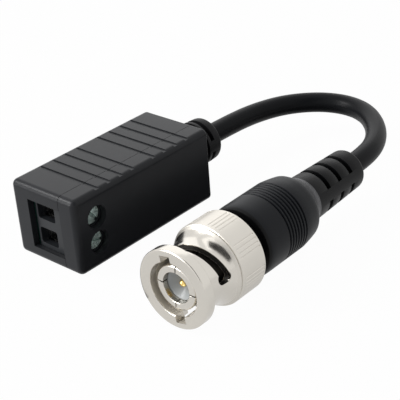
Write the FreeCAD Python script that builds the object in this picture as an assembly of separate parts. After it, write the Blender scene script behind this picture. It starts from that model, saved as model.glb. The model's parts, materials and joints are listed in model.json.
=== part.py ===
import FreeCAD, Part
import math
import os

from FreeCAD import Placement, Rotation, Vector

# A video balun for camera wiring: a grooved plastic case that holds a two-way screw terminal
# and a small circuit board, with a short coaxial lead that ends in a bayonet plug.
# Lengths are in millimetres and angles in degrees.
# The origin is the middle of the case's underside. +X runs from the terminal end to the cable
# end, -Y is the side with the two screw holes, and +Z is up.
# The plug's own pieces are drawn on the X axis, with zero at the rear edge of its coupling nut,
# and then moved to where the plug lies.

# Clearances
seat_gap = 0.1
moulded_gap = 0.02
running_gap = 0.05
hole_gap = 0.1

# Case
case_length = 35.0
case_width = 16.5
case_height = 15.0
case_wall = 1.3
edge_round = 1.2
rear_round = 0.4
cover_depth = 4.1
seam_gap = 0.08
lip_depth = 1.0
lip_thickness = 0.7
bead_length = 4.0
bead_height = 0.25
bead_width = 0.5
bead_spacing = 14.0
bead_middle = 3.0

# Grooves across the top of the case
groove_width = 0.9
groove_depth = 0.2
groove_pitch = 3.0
grooves_in_group = 4
groove_group_gap = 5.5
groove_middle = 0.63

# Opening at the terminal end
opening_width = 8.2
opening_height = 9.75
opening_drop = 0.17

# Screw terminal
pole_pitch = 5.08
terminal_recess = 1.0
terminal_length = 8.2
terminal_gap = 0.15
terminal_front_wall = 1.3
terminal_rear_wall = 0.6
terminal_floor = 0.45
screw_set_back = 4.1
access_clearance = 0.3
entry_width = 3.25
entry_height = 4.4
entry_round = 0.5
entry_floor = 0.45

# Clamp screws and cages
screw_head_radius = 1.9
screw_head_height = 0.85
screw_head_recess = 0.1
screw_neck = 0.85
screw_radius = 1.45
screw_slot_width = 0.6
screw_slot_depth = 0.55
screw_slot_angles = (52.0, 18.0)
bar_thickness = 0.6
bar_width = 2.8
tail_width = 1.0
tail_length = 0.9
cage_length = 4.7
cage_width = 4.0
cage_side = 0.5
cage_roof = 0.8
cage_floor = 0.6
clamp_opening = 2.8

# Circuit board
board_thickness = 1.2
board_set_back = 0.4
board_to_jacket = 2.0
post_radius = 1.1
peg_radius = 0.6
post_inset = 1.7

# Ferrite ring and its two windings
core_outer = 3.5
core_inner = 1.7
core_height = 3.4
core_edge = 0.3
wire_thickness = 0.45
winding_turns = 9
winding_turn_angle = 14.0
winding_groove = 0.12
core_to_terminal = 0.6

# Surge diodes
diode_radius = 1.1
diode_length = 4.4
diode_lead_radius = 0.3
diode_lead_span = 7.6
diode_spacing = 2.5
diode_to_wires = 0.35
lead_length = 0.8

# Wires from the cable to the board
core_wire_radius = 0.5
braid_radius = 0.65
wire_spread = 0.95
wire_edge = 1.0
wire_bend = 1.2

# Cable and the gland on the case
cable_radius = 2.1
cable_above_middle = 0.2
gland_length = 8.4
gland_root_radius = 4.95
gland_tip_radius = 4.4
gland_tip_round = 0.6
gland_neck_wall = 1.1
gland_flange_height = 1.0
gland_flange = 1.2
gland_core_wall = 0.9
gland_slot_first = 2.1
gland_slot_pitch = 1.85
gland_slot_width = 1.05
gland_slots = 3
jacket_inside = 2.0
rib_angle = 30.0
gland_rib_turns = (175.0, 131.0, 175.0)

# Where the plug lies
plug_x = -4.4
plug_y = -31.87
plug_heading = 1.25

# Coupling nut
nut_length = 14.9
nut_bore = 4.9
rim_radius = 7.2
rim_length = 2.0
rim_edge = 0.3
barrel_wall = 1.05
barrel_length = 3.4
grip_radius = 7.5
grip_length = 5.9
grip_edge = 0.25
flare_step = 0.25
flare_lip = 0.45
nut_travel = 0.8

# Bayonet slots of the nut
slot_width = 2.1
slot_turn = 90.0
slot_start_angle = 78.0
slot_entry_depth = 3.7
slot_rise = 2.5
slot_detent = 0.55
lug_room = 1.15

# Knurl of the grip
knurl_groups = 8
knurl_lines = 4
knurl_line_angle = 5.8
knurl_first_angle = 99.5
knurl_width = 0.3
knurl_depth = 0.15
knurl_end = 0.5

# Inside of the nut
flange_catch = 0.6
flange_front = 4.6
flange_thickness = 1.2
wave_height = 0.6
wave_thickness = 0.3
wave_count = 3
thrust_thickness = 0.4
ring_thickness = 0.8
ring_clearance = 0.25
ring_grip = 0.4
ring_split = 1.6

# Contacts and insulator
contact_radius = 4.1
contact_bore = 2.75
contact_tip = 14.2
contact_tip_round = 0.3
contact_slots = 4
contact_slot_width = 0.24
contact_slot_turn = 4.0
contact_slot_end = 8.6
insulator_face = 13.1
insulator_dish_radius = 2.4
insulator_dish_floor = 0.85
insulator_dish_depth = 1.7
pin_radius = 0.675
pin_tip = 12.9
pin_collar_radius = 1.1
pin_collar_front = 5.0
gasket_thickness = 0.9

# Rear of the plug, inside the boot
body_rear = 4.0
body_radius = 4.4
body_bore_end = 0.5
stub_radius = 3.0
stub_rear = 9.0
core_radius = 1.4
ferrule_wall = 0.58
ferrule_rear = 13.0
ferrule_step = 0.4

# Boot
boot_front = 2.2
neck_front = 0.45
neck_wall = 0.88
boot_lip_radius = 6.55
boot_radius = 6.8
boot_collar = 2.0
boot_taper_start = 13.6
shoulder_radius = 6.25
shoulder_place = 17.0
shoulder_bulge_radius = 5.32
shoulder_bulge_place = 18.4
relief_root_radius = 4.45
relief_start = 20.0
relief_tip_radius = 3.95
relief_tip_round = 0.7
boot_end = 35.2
ring_count = 7
ring_first = 7.9
ring_pitch = 0.77
ring_width = 0.42
ring_depth = 0.28
relief_slots = 3
relief_slot_first = 23.7
relief_slot_pitch = 3.65
relief_slot_width = 1.1
relief_core_wall = 0.85
relief_rib_turn = 167.0

# Cable route between the gland and the boot: a straight run out of each, and points
# along its loop between them
gland_lead = 7.0
boot_lead = 6.0
route_middle = [
    (41.0, -0.4, 7.4),
    (48.5, -2.6, 7.1),
    (54.0, -7.5, 6.9),
    (56.1, -13.4, 6.8),
    (54.6, -19.4, 6.9),
    (49.7, -25.0, 7.0),
    (43.5, -29.0, 7.2),
]

# Places worked out from the sizes
front_x = -case_length / 2
rear_x = case_length / 2
holes_y = -case_width / 2
back_y = case_width / 2
seam_y = holes_y + cover_depth
cover_inner_y = holes_y + case_wall
shell_inner_y = back_y - case_wall
middle_z = case_height / 2
top_inner_z = case_height - case_wall

terminal_front = front_x + terminal_recess
terminal_back = terminal_front + terminal_length
terminal_top = cover_inner_y + terminal_gap
screw_x = terminal_front + screw_set_back
pole_z = [middle_z + pole_pitch / 2, middle_z - pole_pitch / 2]
chamber_front = terminal_front + terminal_front_wall
chamber_back = terminal_back - terminal_rear_wall

# The stack from the terminal's top to the board: screw head, its bare neck, cage travel, cage
# roof, fixed bar, opening for the wire, cage floor and the housing's floor.
cage_travel = clamp_opening - hole_gap
head_top = terminal_top + screw_head_recess
head_bottom = head_top + screw_head_height
cage_top = head_bottom + screw_neck + running_gap + cage_travel
cage_roof_bottom = cage_top + cage_roof
bar_top = cage_roof_bottom + hole_gap
bar_bottom = bar_top + bar_thickness
cage_floor_top = bar_bottom + clamp_opening
cage_bottom = cage_floor_top + cage_floor
chamber_bottom = cage_bottom + hole_gap
board_face = chamber_bottom + terminal_floor
board_back = board_face + board_thickness
entry_bottom = board_face - entry_floor
entry_top = entry_bottom - entry_height

cable_z = middle_z + cable_above_middle
gland_tip_x = rear_x + gland_length
flange_inner_x = rear_x - case_wall - gland_flange
jacket_end_x = flange_inner_x - jacket_inside
board_start = terminal_front + board_set_back
board_end = jacket_end_x - board_to_jacket
wire_x = board_end - wire_edge
access_radius = screw_head_radius + access_clearance
gland_neck_radius = cable_radius + gland_neck_wall
gland_flange_radius = gland_neck_radius + gland_flange_height
gland_core_radius = cable_radius + gland_core_wall
winding_outer = core_outer + wire_thickness
core_x = terminal_back + core_to_terminal + winding_outer
core_top = board_face - wire_thickness - core_height
diode_y = board_face - diode_radius
last_diode_x = wire_x - braid_radius - diode_to_wires - diode_radius
diode_x = [last_diode_x - diode_spacing, last_diode_x]

plug_z = grip_radius
plug_place = Placement(Vector(plug_x, plug_y, plug_z), Rotation(Vector(0, 0, 1), plug_heading))
barrel_radius = nut_bore + barrel_wall
flare_lip_radius = grip_radius - flare_step
slot_floor_radius = nut_bore + lug_room
flange_radius = nut_bore + flange_catch
room_radius = flange_radius + seat_gap
washer_inner = body_radius + seat_gap
washer_outer = flange_radius
ring_inner = body_radius + ring_clearance
ring_outer = room_radius + ring_grip
gasket_outer = nut_bore - seat_gap
ferrule_radius = stub_radius + moulded_gap + ferrule_wall
neck_radius = body_radius + moulded_gap + neck_wall
relief_core_radius = cable_radius + relief_core_wall
flare_end = -grip_length - flare_lip
barrel_front = -nut_length + rim_length
barrel_back = barrel_front + barrel_length
flange_back = -flange_front + flange_thickness
wave_back = flange_back + wave_height
thrust_front = wave_back + nut_travel + running_gap
ring_front = thrust_front + thrust_thickness
ring_back = ring_front + ring_thickness


# Simple solids


def box(x0, x1, y0, y1, z0, z1):
    return Part.makeBox(x1 - x0, y1 - y0, z1 - z0, Vector(x0, y0, z0))


def rod_x(radius, x0, x1, y=0.0, z=0.0):
    return Part.makeCylinder(radius, x1 - x0, Vector(x0, y, z), Vector(1, 0, 0))


def rod_y(radius, y0, y1, x, z):
    return Part.makeCylinder(radius, y1 - y0, Vector(x, y0, z), Vector(0, 1, 0))


def rod_z(radius, z0, z1, x, y):
    return Part.makeCylinder(radius, z1 - z0, Vector(x, y, z0), Vector(0, 0, 1))


def turned(outline):
    """A solid turned about the X axis from a closed outline of (x, radius) points."""
    points = [Vector(x, 0, radius) for x, radius in outline]
    wire = Part.makePolygon(points + [points[0]])
    return Part.Face(wire).revolve(Vector(0, 0, 0), Vector(1, 0, 0), 360)


def turned_edges(edges):
    """A solid turned about the X axis from a closed run of edges in the XZ plane."""
    return Part.Face(Part.Wire(edges)).revolve(Vector(0, 0, 0), Vector(1, 0, 0), 360)


def line(a, b):
    return Part.LineSegment(Vector(a[0], 0, a[1]), Vector(b[0], 0, b[1])).toShape()


def arc(a, b, c):
    return Part.Arc(Vector(a[0], 0, a[1]), Vector(b[0], 0, b[1]), Vector(c[0], 0, c[1])).toShape()


def turn_about_x(shape, angle, y=0.0, z=0.0):
    turned_copy = shape.copy()
    turned_copy.rotate(Vector(0, y, z), Vector(1, 0, 0), angle)
    return turned_copy


def joined(shapes):
    whole = shapes[0]
    for shape in shapes[1:]:
        whole = whole.fuse(shape)
    return whole.removeSplitter()


def cut_all(shape, cutters):
    return shape.cut(Part.makeCompound(cutters))


def bent_path(points, share=0.45, bend=None):
    """Straight runs joined by tangent arcs, with the arcs' radii.

    An arc's radius is the share of its shorter run over the tangent of half the turn, or the
    bend radius where one is given.
    """
    corners = [Vector(*p) for p in points]
    edges = []
    radii = []
    start = corners[0]
    for before, corner, after in zip(corners, corners[1:], corners[2:]):
        into = (corner - before).normalize()
        out = (after - corner).normalize()
        half = into.getAngle(out) / 2
        shorter = min((corner - before).Length, (after - corner).Length)
        radius = bend or share * shorter / math.tan(half)
        reach = radius * math.tan(half)
        inward = (out - into).normalize()
        middle = corner + inward * (radius / math.cos(half) - radius)
        first = corner - into * reach
        last = corner + out * reach
        edges.append(Part.LineSegment(start, first).toShape())
        edges.append(Part.Arc(first, middle, last).toShape())
        radii.append(radius)
        start = last
    edges.append(Part.LineSegment(start, corners[-1]).toShape())
    return Part.Wire(edges), radii


def tube(points, radius, share=0.45, bend=None):
    """A round solid that follows the path through the points."""
    path, radii = bent_path(points, share, bend)
    direction = Vector(*points[1]) - Vector(*points[0])
    ring = Part.Wire(Part.makeCircle(radius, Vector(*points[0]), direction))
    return path.makePipeShell([ring], True, False), path, radii


# Case


def case_blank():
    """The whole case as one rounded block, before it is hollowed and parted."""
    block = box(front_x, rear_x, holes_y, back_y, 0, case_height)
    long_edges = [e for e in block.Edges if e.BoundBox.XLength > case_length / 2]
    front_edges = [e for e in block.Edges if e.BoundBox.XMax < front_x + 0.01]
    block = block.makeFillet(edge_round, long_edges + front_edges)
    rear_edges = [e for e in block.Edges if e.BoundBox.XMin > rear_x - 0.01]
    return block.makeFillet(rear_round, rear_edges)


def case_hollow():
    return box(
        front_x + case_wall,
        rear_x - case_wall,
        cover_inner_y,
        shell_inner_y,
        case_wall,
        top_inner_z,
    )


def groove_places():
    """The X of each groove: two groups, either side of a plain land."""
    places = []
    for number in range(grooves_in_group):
        reach = groove_group_gap / 2 + number * groove_pitch
        places += [groove_middle - reach, groove_middle + reach]
    return places


def top_grooves():
    return [
        box(
            x - groove_width / 2,
            x + groove_width / 2,
            holes_y - 1,
            back_y + 1,
            case_height - groove_depth,
            case_height + 1,
        )
        for x in groove_places()
    ]


def terminal_seat():
    """The room for the terminal block in the front wall of both halves of the case."""
    half = pole_pitch + seat_gap
    return box(
        terminal_front - seat_gap,
        terminal_back,
        cover_inner_y,
        board_face + seat_gap,
        middle_z - half,
        middle_z + half,
    )


def bead_places():
    return [bead_middle - bead_spacing / 2, bead_middle + bead_spacing / 2]


def bead(x, outwards, extra=0.0):
    """A snap bead on the cover's lip; outwards is +1 at the top wall and -1 at the bottom."""
    inner = (top_inner_z if outwards > 0 else case_wall) - outwards * seat_gap
    low, high = sorted((inner - outwards * extra, inner + outwards * (bead_height + extra)))
    y = seam_y + lip_depth - bead_width
    half = bead_length / 2 + extra
    return box(x - half, x + half, y - extra, y + bead_width + extra, low, high)


def board_posts():
    """Four posts that carry the board, each with a peg through it."""
    xs = [board_start + post_inset, board_end - post_inset]
    zs = [case_wall + post_inset, top_inner_z - post_inset]
    posts = []
    for x in xs:
        for z in zs:
            posts.append(rod_y(post_radius, board_back, shell_inner_y, x, z))
            posts.append(rod_y(peg_radius, board_face, board_back, x, z))
    return posts


def case_shell():
    shell = case_blank().common(
        box(front_x - 1, rear_x + 1, seam_y, back_y + 1, -1, case_height + 1)
    )
    opening_z = middle_z - opening_drop
    opening = box(
        front_x - 1,
        front_x + case_wall + 0.5,
        seam_y - 1,
        seam_y + opening_width,
        opening_z - opening_height / 2,
        opening_z + opening_height / 2,
    )
    neck_hole = gland_neck_radius + moulded_gap
    gland_hole = rod_x(neck_hole, jacket_end_x, rear_x + 1, 0, cable_z)
    pockets = [bead(x, side, seat_gap) for x in bead_places() for side in (1, -1)]
    cutters = [case_hollow(), opening, terminal_seat(), gland_hole]
    shell = cut_all(shell, cutters + top_grooves() + pockets)
    return joined([shell] + board_posts())


def cover_lip():
    """The lip inside the seam, along the top, the bottom and the rear wall."""
    x0 = terminal_back + seat_gap
    x1 = rear_x - case_wall - seat_gap
    z0 = case_wall + seat_gap
    z1 = top_inner_z - seat_gap
    root_y = cover_inner_y
    outer = box(x0, x1, root_y, seam_y + lip_depth, z0, z1)
    inner = box(
        x0 - 1,
        x1 - lip_thickness,
        root_y - 1,
        seam_y + lip_depth + 1,
        z0 + lip_thickness,
        z1 - lip_thickness,
    )
    gland_room = rod_x(gland_flange_radius + seat_gap, jacket_end_x, rear_x, 0, cable_z)
    return outer.cut(inner).cut(gland_room)


def case_cover():
    edge = seam_y - seam_gap
    cover = case_blank().common(
        box(front_x - 1, rear_x + 1, holes_y - 1, edge, -1, case_height + 1)
    )
    access = [rod_y(access_radius, holes_y - 1, cover_inner_y + 1, screw_x, z) for z in pole_z]
    cover = cut_all(cover, [case_hollow(), terminal_seat()] + top_grooves() + access)
    lip_start = terminal_back + seat_gap
    lip_end = rear_x - case_wall
    low_web = box(lip_start, lip_end, cover_inner_y, edge, case_wall, case_wall + seat_gap)
    high_web = box(lip_start, lip_end, cover_inner_y, edge, top_inner_z - seat_gap, top_inner_z)
    rear_web = box(lip_end - seat_gap, lip_end, cover_inner_y, edge, case_wall, top_inner_z)
    beads = [bead(x, side) for x in bead_places() for side in (1, -1)]
    return joined([cover, cover_lip(), low_web, high_web, rear_web] + beads)


# Screw terminal


def wire_entry(z):
    """The rounded hole that a stripped wire goes into."""
    hole = box(
        terminal_front - 1,
        chamber_front,
        entry_top,
        entry_bottom,
        z - entry_width / 2,
        z + entry_width / 2,
    )
    corners = [e for e in hole.Edges if e.BoundBox.XLength > 1]
    return hole.makeFillet(entry_round, corners)


def cage_chamber(z):
    half = cage_width / 2 + hole_gap
    return box(chamber_front, chamber_back, head_bottom, chamber_bottom, z - half, z + half)


def terminal_housing():
    low = min(pole_z) - pole_pitch / 2
    high = max(pole_z) + pole_pitch / 2
    housing = box(terminal_front, terminal_back, terminal_top, board_face, low, high)
    cutters = []
    for z in pole_z:
        cutters.append(wire_entry(z))
        cutters.append(cage_chamber(z))
        bore = screw_head_radius + seat_gap
        cutters.append(rod_y(bore, terminal_top - 1, head_bottom, screw_x, z))
        tail = tail_width / 2 + moulded_gap
        cutters.append(
            box(chamber_back - bar_thickness - moulded_gap, chamber_back, chamber_bottom,
                board_face + 1, z - tail, z + tail)
        )
    return cut_all(housing, cutters)


def terminal_contact(z):
    """The fixed bar above the wire, with a leg at the back that is soldered into the board."""
    half = bar_width / 2
    bar = box(chamber_front, chamber_back, bar_top, bar_bottom, z - half, z + half)
    leg = box(chamber_back - bar_thickness, chamber_back, bar_top, chamber_bottom, z - half, z + half)
    tail = box(
        chamber_back - bar_thickness,
        chamber_back,
        chamber_bottom,
        board_back + tail_length,
        z - tail_width / 2,
        z + tail_width / 2,
    )
    return joined([bar, leg, tail])


def terminal_screw(z, slot_angle):
    """A clamp screw: its tip bears on the fixed bar and its shank runs in the cage's roof."""
    head = rod_y(screw_head_radius, head_top, head_bottom, screw_x, z)
    rim = [e for e in head.Edges if e.BoundBox.YMax < head_top + 0.01]
    head = head.makeFillet(0.2, rim)
    shank = rod_y(screw_radius, head_bottom, bar_top, screw_x, z)
    reach = screw_head_radius + 1
    slot = box(
        screw_x - reach,
        screw_x + reach,
        head_top - 1,
        head_top + screw_slot_depth,
        z - screw_slot_width / 2,
        z + screw_slot_width / 2,
    )
    slot.rotate(Vector(screw_x, 0, z), Vector(0, 1, 0), slot_angle)
    return joined([head, shank]).cut(slot)


def terminal_cage(z):
    """The square ring that the screw lifts: the wire is caught between its floor and the bar."""
    x0 = screw_x - cage_length / 2
    x1 = screw_x + cage_length / 2
    half = cage_width / 2
    ring = box(x0, x1, cage_top, cage_bottom, z - half, z + half)
    window = box(
        x0 - 1,
        x1 + 1,
        cage_roof_bottom,
        cage_floor_top,
        z - half + cage_side,
        z + half - cage_side,
    )
    hole = rod_y(screw_radius + running_gap, cage_top - 1, cage_roof_bottom + 1, screw_x, z)
    return cut_all(ring, [window, hole])


# Circuit board and what is on it


def diode_lead_places(x):
    """The two board holes of a diode's leads."""
    return [(x, middle_z - diode_lead_span / 2), (x, middle_z + diode_lead_span / 2)]


def circuit_board():
    board = box(
        board_start,
        board_end,
        board_face,
        board_back,
        case_wall + seat_gap,
        top_inner_z - seat_gap,
    )
    holes = []
    for x in (board_start + post_inset, board_end - post_inset):
        for z in (case_wall + post_inset, top_inner_z - post_inset):
            holes.append(rod_y(peg_radius + hole_gap, board_face - 1, board_back + 1, x, z))
    for z in pole_z:
        half = tail_width / 2 + hole_gap
        x = chamber_back - bar_thickness / 2
        reach = bar_thickness / 2 + hole_gap
        holes.append(box(x - reach, x + reach, board_face - 1, board_back + 1, z - half, z + half))
    for x in diode_x:
        for hole_x, z in diode_lead_places(x):
            holes.append(
                rod_y(diode_lead_radius + hole_gap, board_face - 1, board_back + 1, hole_x, z)
            )
    for radius, z in ((core_wire_radius, cable_z + wire_spread), (braid_radius, cable_z - wire_spread)):
        holes.append(rod_y(radius + hole_gap, board_face - 1, board_back + 1, wire_x, z))
    return cut_all(board, holes)


def ferrite_core():
    """The ring core, lying flat over the board with its windings' thickness below it."""
    ring = rod_y(core_outer, core_top, core_top + core_height, core_x, middle_z)
    ring = ring.cut(rod_y(core_inner, core_top - 1, board_face, core_x, middle_z))
    return ring.makeFillet(core_edge, ring.Edges)


def winding(middle_angle):
    """One winding: a sleeve round the core's section, with a ridge for each turn of wire."""

    def sleeve(thickness, angle, start):
        z0 = core_inner - thickness
        z1 = core_outer + thickness
        y0 = core_top - thickness
        y1 = core_top + core_height + thickness
        outer = Part.makePolygon(
            [Vector(0, y0, z0), Vector(0, y1, z0), Vector(0, y1, z1), Vector(0, y0, z1),
             Vector(0, y0, z0)]
        )
        g = moulded_gap
        inner = Part.makePolygon(
            [
                Vector(0, core_top - g, core_inner - g),
                Vector(0, core_top + core_height + g, core_inner - g),
                Vector(0, core_top + core_height + g, core_outer + g),
                Vector(0, core_top - g, core_outer + g),
                Vector(0, core_top - g, core_inner - g),
            ]
        )
        face = Part.Face(outer).cut(Part.Face(inner))
        ring = face.revolve(Vector(0, 0, 0), Vector(0, 1, 0), angle)
        ring.rotate(Vector(0, 0, 0), Vector(0, 1, 0), start)
        return ring

    whole = winding_turns * winding_turn_angle
    first = middle_angle - whole / 2
    wound = sleeve(wire_thickness - winding_groove, whole, first)
    ridge_angle = winding_turn_angle * 0.7
    ridges = [
        sleeve(
            wire_thickness,
            ridge_angle,
            first + (number + 0.5) * winding_turn_angle - ridge_angle / 2,
        )
        for number in range(winding_turns)
    ]
    wound = joined([wound] + ridges)
    wound.translate(Vector(core_x, 0, middle_z))
    return wound


def surge_diode(x):
    """A diode that lies across the board, with its two leads bent down through it."""
    body = rod_z(diode_radius, middle_z - diode_length / 2, middle_z + diode_length / 2, x, diode_y)
    body = body.makeFillet(0.2, [e for e in body.Edges if e.Closed and e.BoundBox.ZLength < 0.01])
    leads = []
    for side in (-1, 1):
        start = middle_z + side * diode_length / 2
        turn = middle_z + side * diode_lead_span / 2
        points = [(x, diode_y, start), (x, diode_y, turn), (x, board_back + lead_length, turn)]
        leads.append(tube(points, diode_lead_radius, bend=2 * diode_lead_radius)[0])
    return joined([body] + leads)


# Cable inside the case


def board_wire(radius, z):
    """A wire from the cut end of the cable, along and then down through the board."""
    points = [
        (jacket_end_x, 0, z),
        (wire_x, 0, z),
        (wire_x, board_back + lead_length, z),
    ]
    return tube(points, radius, bend=wire_bend)[0]


def coax_case_end():
    """The jacketed cable from inside the case to the gland's outer end."""
    return rod_x(cable_radius, jacket_end_x, gland_tip_x, 0, cable_z)


def ring_slot(place, width, core, outer, rib_turn):
    """The cutter for a ring slot about the X axis that leaves two opposite ribs."""
    ring = rod_x(outer + 1, place - width / 2, place + width / 2)
    ring = ring.cut(rod_x(core, place - width, place + width))
    reach = outer + 2
    wedge_half = math.radians(rib_angle / 2)
    side = reach * math.tan(wedge_half)
    for turn in (rib_turn, rib_turn + 180):
        wedge = Part.Face(
            Part.makePolygon(
                [
                    Vector(place - width, 0, 0),
                    Vector(place - width, reach, -side),
                    Vector(place - width, reach, side),
                    Vector(place - width, 0, 0),
                ]
            )
        ).extrude(Vector(2 * width, 0, 0))
        ring = ring.cut(turn_about_x(wedge, turn))
    return ring


def cable_gland():
    """The soft moulding that holds the cable in the case's rear wall, drawn on the X axis."""
    tip = gland_length
    wall = -case_wall
    flange = wall - gland_flange
    tip_rounded = gland_tip_radius - gland_tip_round
    bend = gland_tip_round * (1 - math.sqrt(0.5))
    outline = [
        line((flange, cable_radius + moulded_gap), (flange, gland_flange_radius)),
        line((flange, gland_flange_radius), (wall, gland_flange_radius)),
        line((wall, gland_flange_radius), (wall, gland_neck_radius)),
        line((wall, gland_neck_radius), (0, gland_neck_radius)),
        line((0, gland_neck_radius), (0, gland_root_radius)),
        line((0, gland_root_radius), (tip - gland_tip_round, gland_tip_radius)),
        arc((tip - gland_tip_round, gland_tip_radius), (tip - bend, gland_tip_radius - bend),
            (tip, tip_rounded)),
        line((tip, tip_rounded), (tip, cable_radius + moulded_gap)),
        line((tip, cable_radius + moulded_gap), (flange, cable_radius + moulded_gap)),
    ]
    gland = turned_edges(outline)
    slots = [
        ring_slot(
            gland_slot_first + number * gland_slot_pitch,
            gland_slot_width,
            gland_core_radius,
            gland_root_radius,
            gland_rib_turns[number],
        )
        for number in range(gland_slots)
    ]
    gland = cut_all(gland, slots)
    gland.translate(Vector(rear_x, 0, cable_z))
    return gland


# Free cable


def route_points():
    """The cable's route, from the gland's end to the boot's end."""
    start = (gland_tip_x, 0, cable_z)
    after_gland = (gland_tip_x + gland_lead, 0, cable_z)
    before_boot = tuple(plug_place.multVec(Vector(boot_end + boot_lead, 0, 0)))
    end = tuple(plug_place.multVec(Vector(boot_end, 0, 0)))
    return [start, after_gland] + route_middle + [before_boot, end]


def coax_cable():
    solid, path, radii = tube(route_points(), cable_radius)
    section = math.pi * cable_radius**2
    print("cable length", round(path.Length, 2), "arc radii", [round(r, 1) for r in radii])
    print("cable volume", round(solid.Volume, 1), "section times length",
          round(section * path.Length, 1))
    return solid


# Plug, drawn on the X axis


def nut_outside():
    """The nut's outside: rim, barrel, polished flare and grip."""
    flare_middle_x = (barrel_back + flare_end) / 2 + 0.45
    flare_middle_r = (barrel_radius + flare_lip_radius) / 2 - 0.2
    front = -nut_length
    outline = [
        line((front, 0), (front, rim_radius - rim_edge)),
        line((front, rim_radius - rim_edge), (front + rim_edge, rim_radius)),
        line((front + rim_edge, rim_radius), (barrel_front, rim_radius)),
        line((barrel_front, rim_radius), (barrel_front, barrel_radius)),
        line((barrel_front, barrel_radius), (barrel_back, barrel_radius)),
        arc((barrel_back, barrel_radius), (flare_middle_x, flare_middle_r),
            (flare_end, flare_lip_radius)),
        line((flare_end, flare_lip_radius), (-grip_length, grip_radius)),
        line((-grip_length, grip_radius), (-grip_edge, grip_radius)),
        line((-grip_edge, grip_radius), (0, grip_radius - grip_edge)),
        line((0, grip_radius - grip_edge), (0, 0)),
        line((0, 0), (front, 0)),
    ]
    return turned_edges(outline)


def nut_inside():
    """The nut's bore, the wider room for the washers and the groove of the retaining ring."""
    step = -flange_front - seat_gap
    return [
        rod_x(nut_bore, -nut_length - 1, 1),
        rod_x(room_radius, step, 1),
        rod_x(ring_outer + running_gap, ring_front - running_gap, ring_back + running_gap),
    ]


def bayonet_slot(turn):
    """One bayonet slot: a way in through the rim, a quarter-turn helix and a detent."""
    half = slot_width / 2
    front = -nut_length
    helix_start = front + slot_entry_depth
    inner = nut_bore - 0.3
    outer = grip_radius + 1
    entry = box(front - 1, helix_start, -half, half, inner, slot_floor_radius)
    through = box(barrel_front, helix_start, -half, half, inner, outer)
    corner = Part.makeCylinder(half, outer - inner, Vector(helix_start, 0, inner), Vector(0, 0, 1))
    helix = Part.makeHelix(slot_rise * 360 / slot_turn, slot_rise, inner)
    helix.rotate(Vector(0, 0, 0), Vector(0, 1, 0), 90)
    helix.rotate(Vector(0, 0, 0), Vector(1, 0, 0), start_turn_of(helix))
    helix.translate(Vector(helix_start, 0, 0))
    section = Part.makePolygon(
        [
            Vector(helix_start - half, 0, inner),
            Vector(helix_start + half, 0, inner),
            Vector(helix_start + half, 0, outer),
            Vector(helix_start - half, 0, outer),
            Vector(helix_start - half, 0, inner),
        ]
    )
    ramp = Part.Wire(helix.Edges).makePipeShell([section], True, True)
    end = Part.makeCylinder(
        half, outer - inner, Vector(helix_start + slot_rise, 0, inner), Vector(0, 0, 1)
    )
    pocket = Part.makeCylinder(
        half, outer - inner, Vector(helix_start + slot_rise - slot_detent, 0, inner), Vector(0, 0, 1)
    )
    detent = box(
        helix_start + slot_rise - slot_detent,
        helix_start + slot_rise,
        -half,
        half,
        inner,
        outer,
    )
    far = [turn_about_x(shape, slot_turn) for shape in (end, pocket, detent)]
    whole = [entry, through, corner, ramp] + far
    return [turn_about_x(shape, turn - 90) for shape in whole]


def start_turn_of(helix):
    """The turn about X that brings a helix's first point to the top."""
    first = helix.Vertexes[0].Point
    return 90 - math.degrees(math.atan2(first.z, first.y))


def knurl_cutters():
    """The knurl's fine axial grooves, in groups with plain lands between."""
    cutters = []
    half = knurl_width / 2
    for group in range(knurl_groups):
        for number in range(knurl_lines):
            offset = (number - (knurl_lines - 1) / 2) * knurl_line_angle
            angle = knurl_first_angle + group * 360 / knurl_groups + offset
            groove = Part.Face(
                Part.makePolygon(
                    [
                        Vector(-grip_length + knurl_end, 0, grip_radius - knurl_depth),
                        Vector(-grip_length + knurl_end, half, grip_radius + 0.05),
                        Vector(-grip_length + knurl_end, -half, grip_radius + 0.05),
                        Vector(-grip_length + knurl_end, 0, grip_radius - knurl_depth),
                    ]
                )
            ).extrude(Vector(grip_length - 2 * knurl_end, 0, 0))
            cutters.append(turn_about_x(groove, angle - 90))
    return cutters


def coupling_nut():
    nut = cut_all(nut_outside(), [joined(nut_inside())])
    for turn in (slot_start_angle, slot_start_angle + 180):
        for cutter in bayonet_slot(turn):
            nut = nut.cut(cutter)
    return cut_all(nut, knurl_cutters())


def flat_ring(inner, outer, x0, x1):
    return rod_x(outer, x0, x1).cut(rod_x(inner, x0 - 1, x1 + 1))


def thrust_washer():
    return flat_ring(washer_inner, washer_outer, thrust_front, ring_front)


def retaining_ring():
    """The split ring that snaps into the nut's groove."""
    ring = flat_ring(ring_inner, ring_outer, ring_front, ring_back)
    return ring.cut(box(ring_front - 1, ring_back + 1, -ring_split / 2, ring_split / 2, 0, 2 * ring_outer))


def wave_washer():
    """The sprung washer behind the body's flange: a thin ring with low waves."""
    front = flange_back
    ring = flat_ring(washer_inner, washer_outer, front, front + wave_thickness)
    crest = wave_height - wave_thickness
    crests = []
    for number in range(wave_count):
        block = box(
            front + wave_thickness,
            front + wave_thickness + crest,
            -washer_inner / 3,
            washer_inner / 3,
            0,
            2 * washer_outer,
        )
        crests.append(turn_about_x(block, number * 360 / wave_count))
    band = flat_ring(washer_inner, washer_outer, front, wave_back)
    return joined([ring] + [band.common(block) for block in crests])


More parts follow.
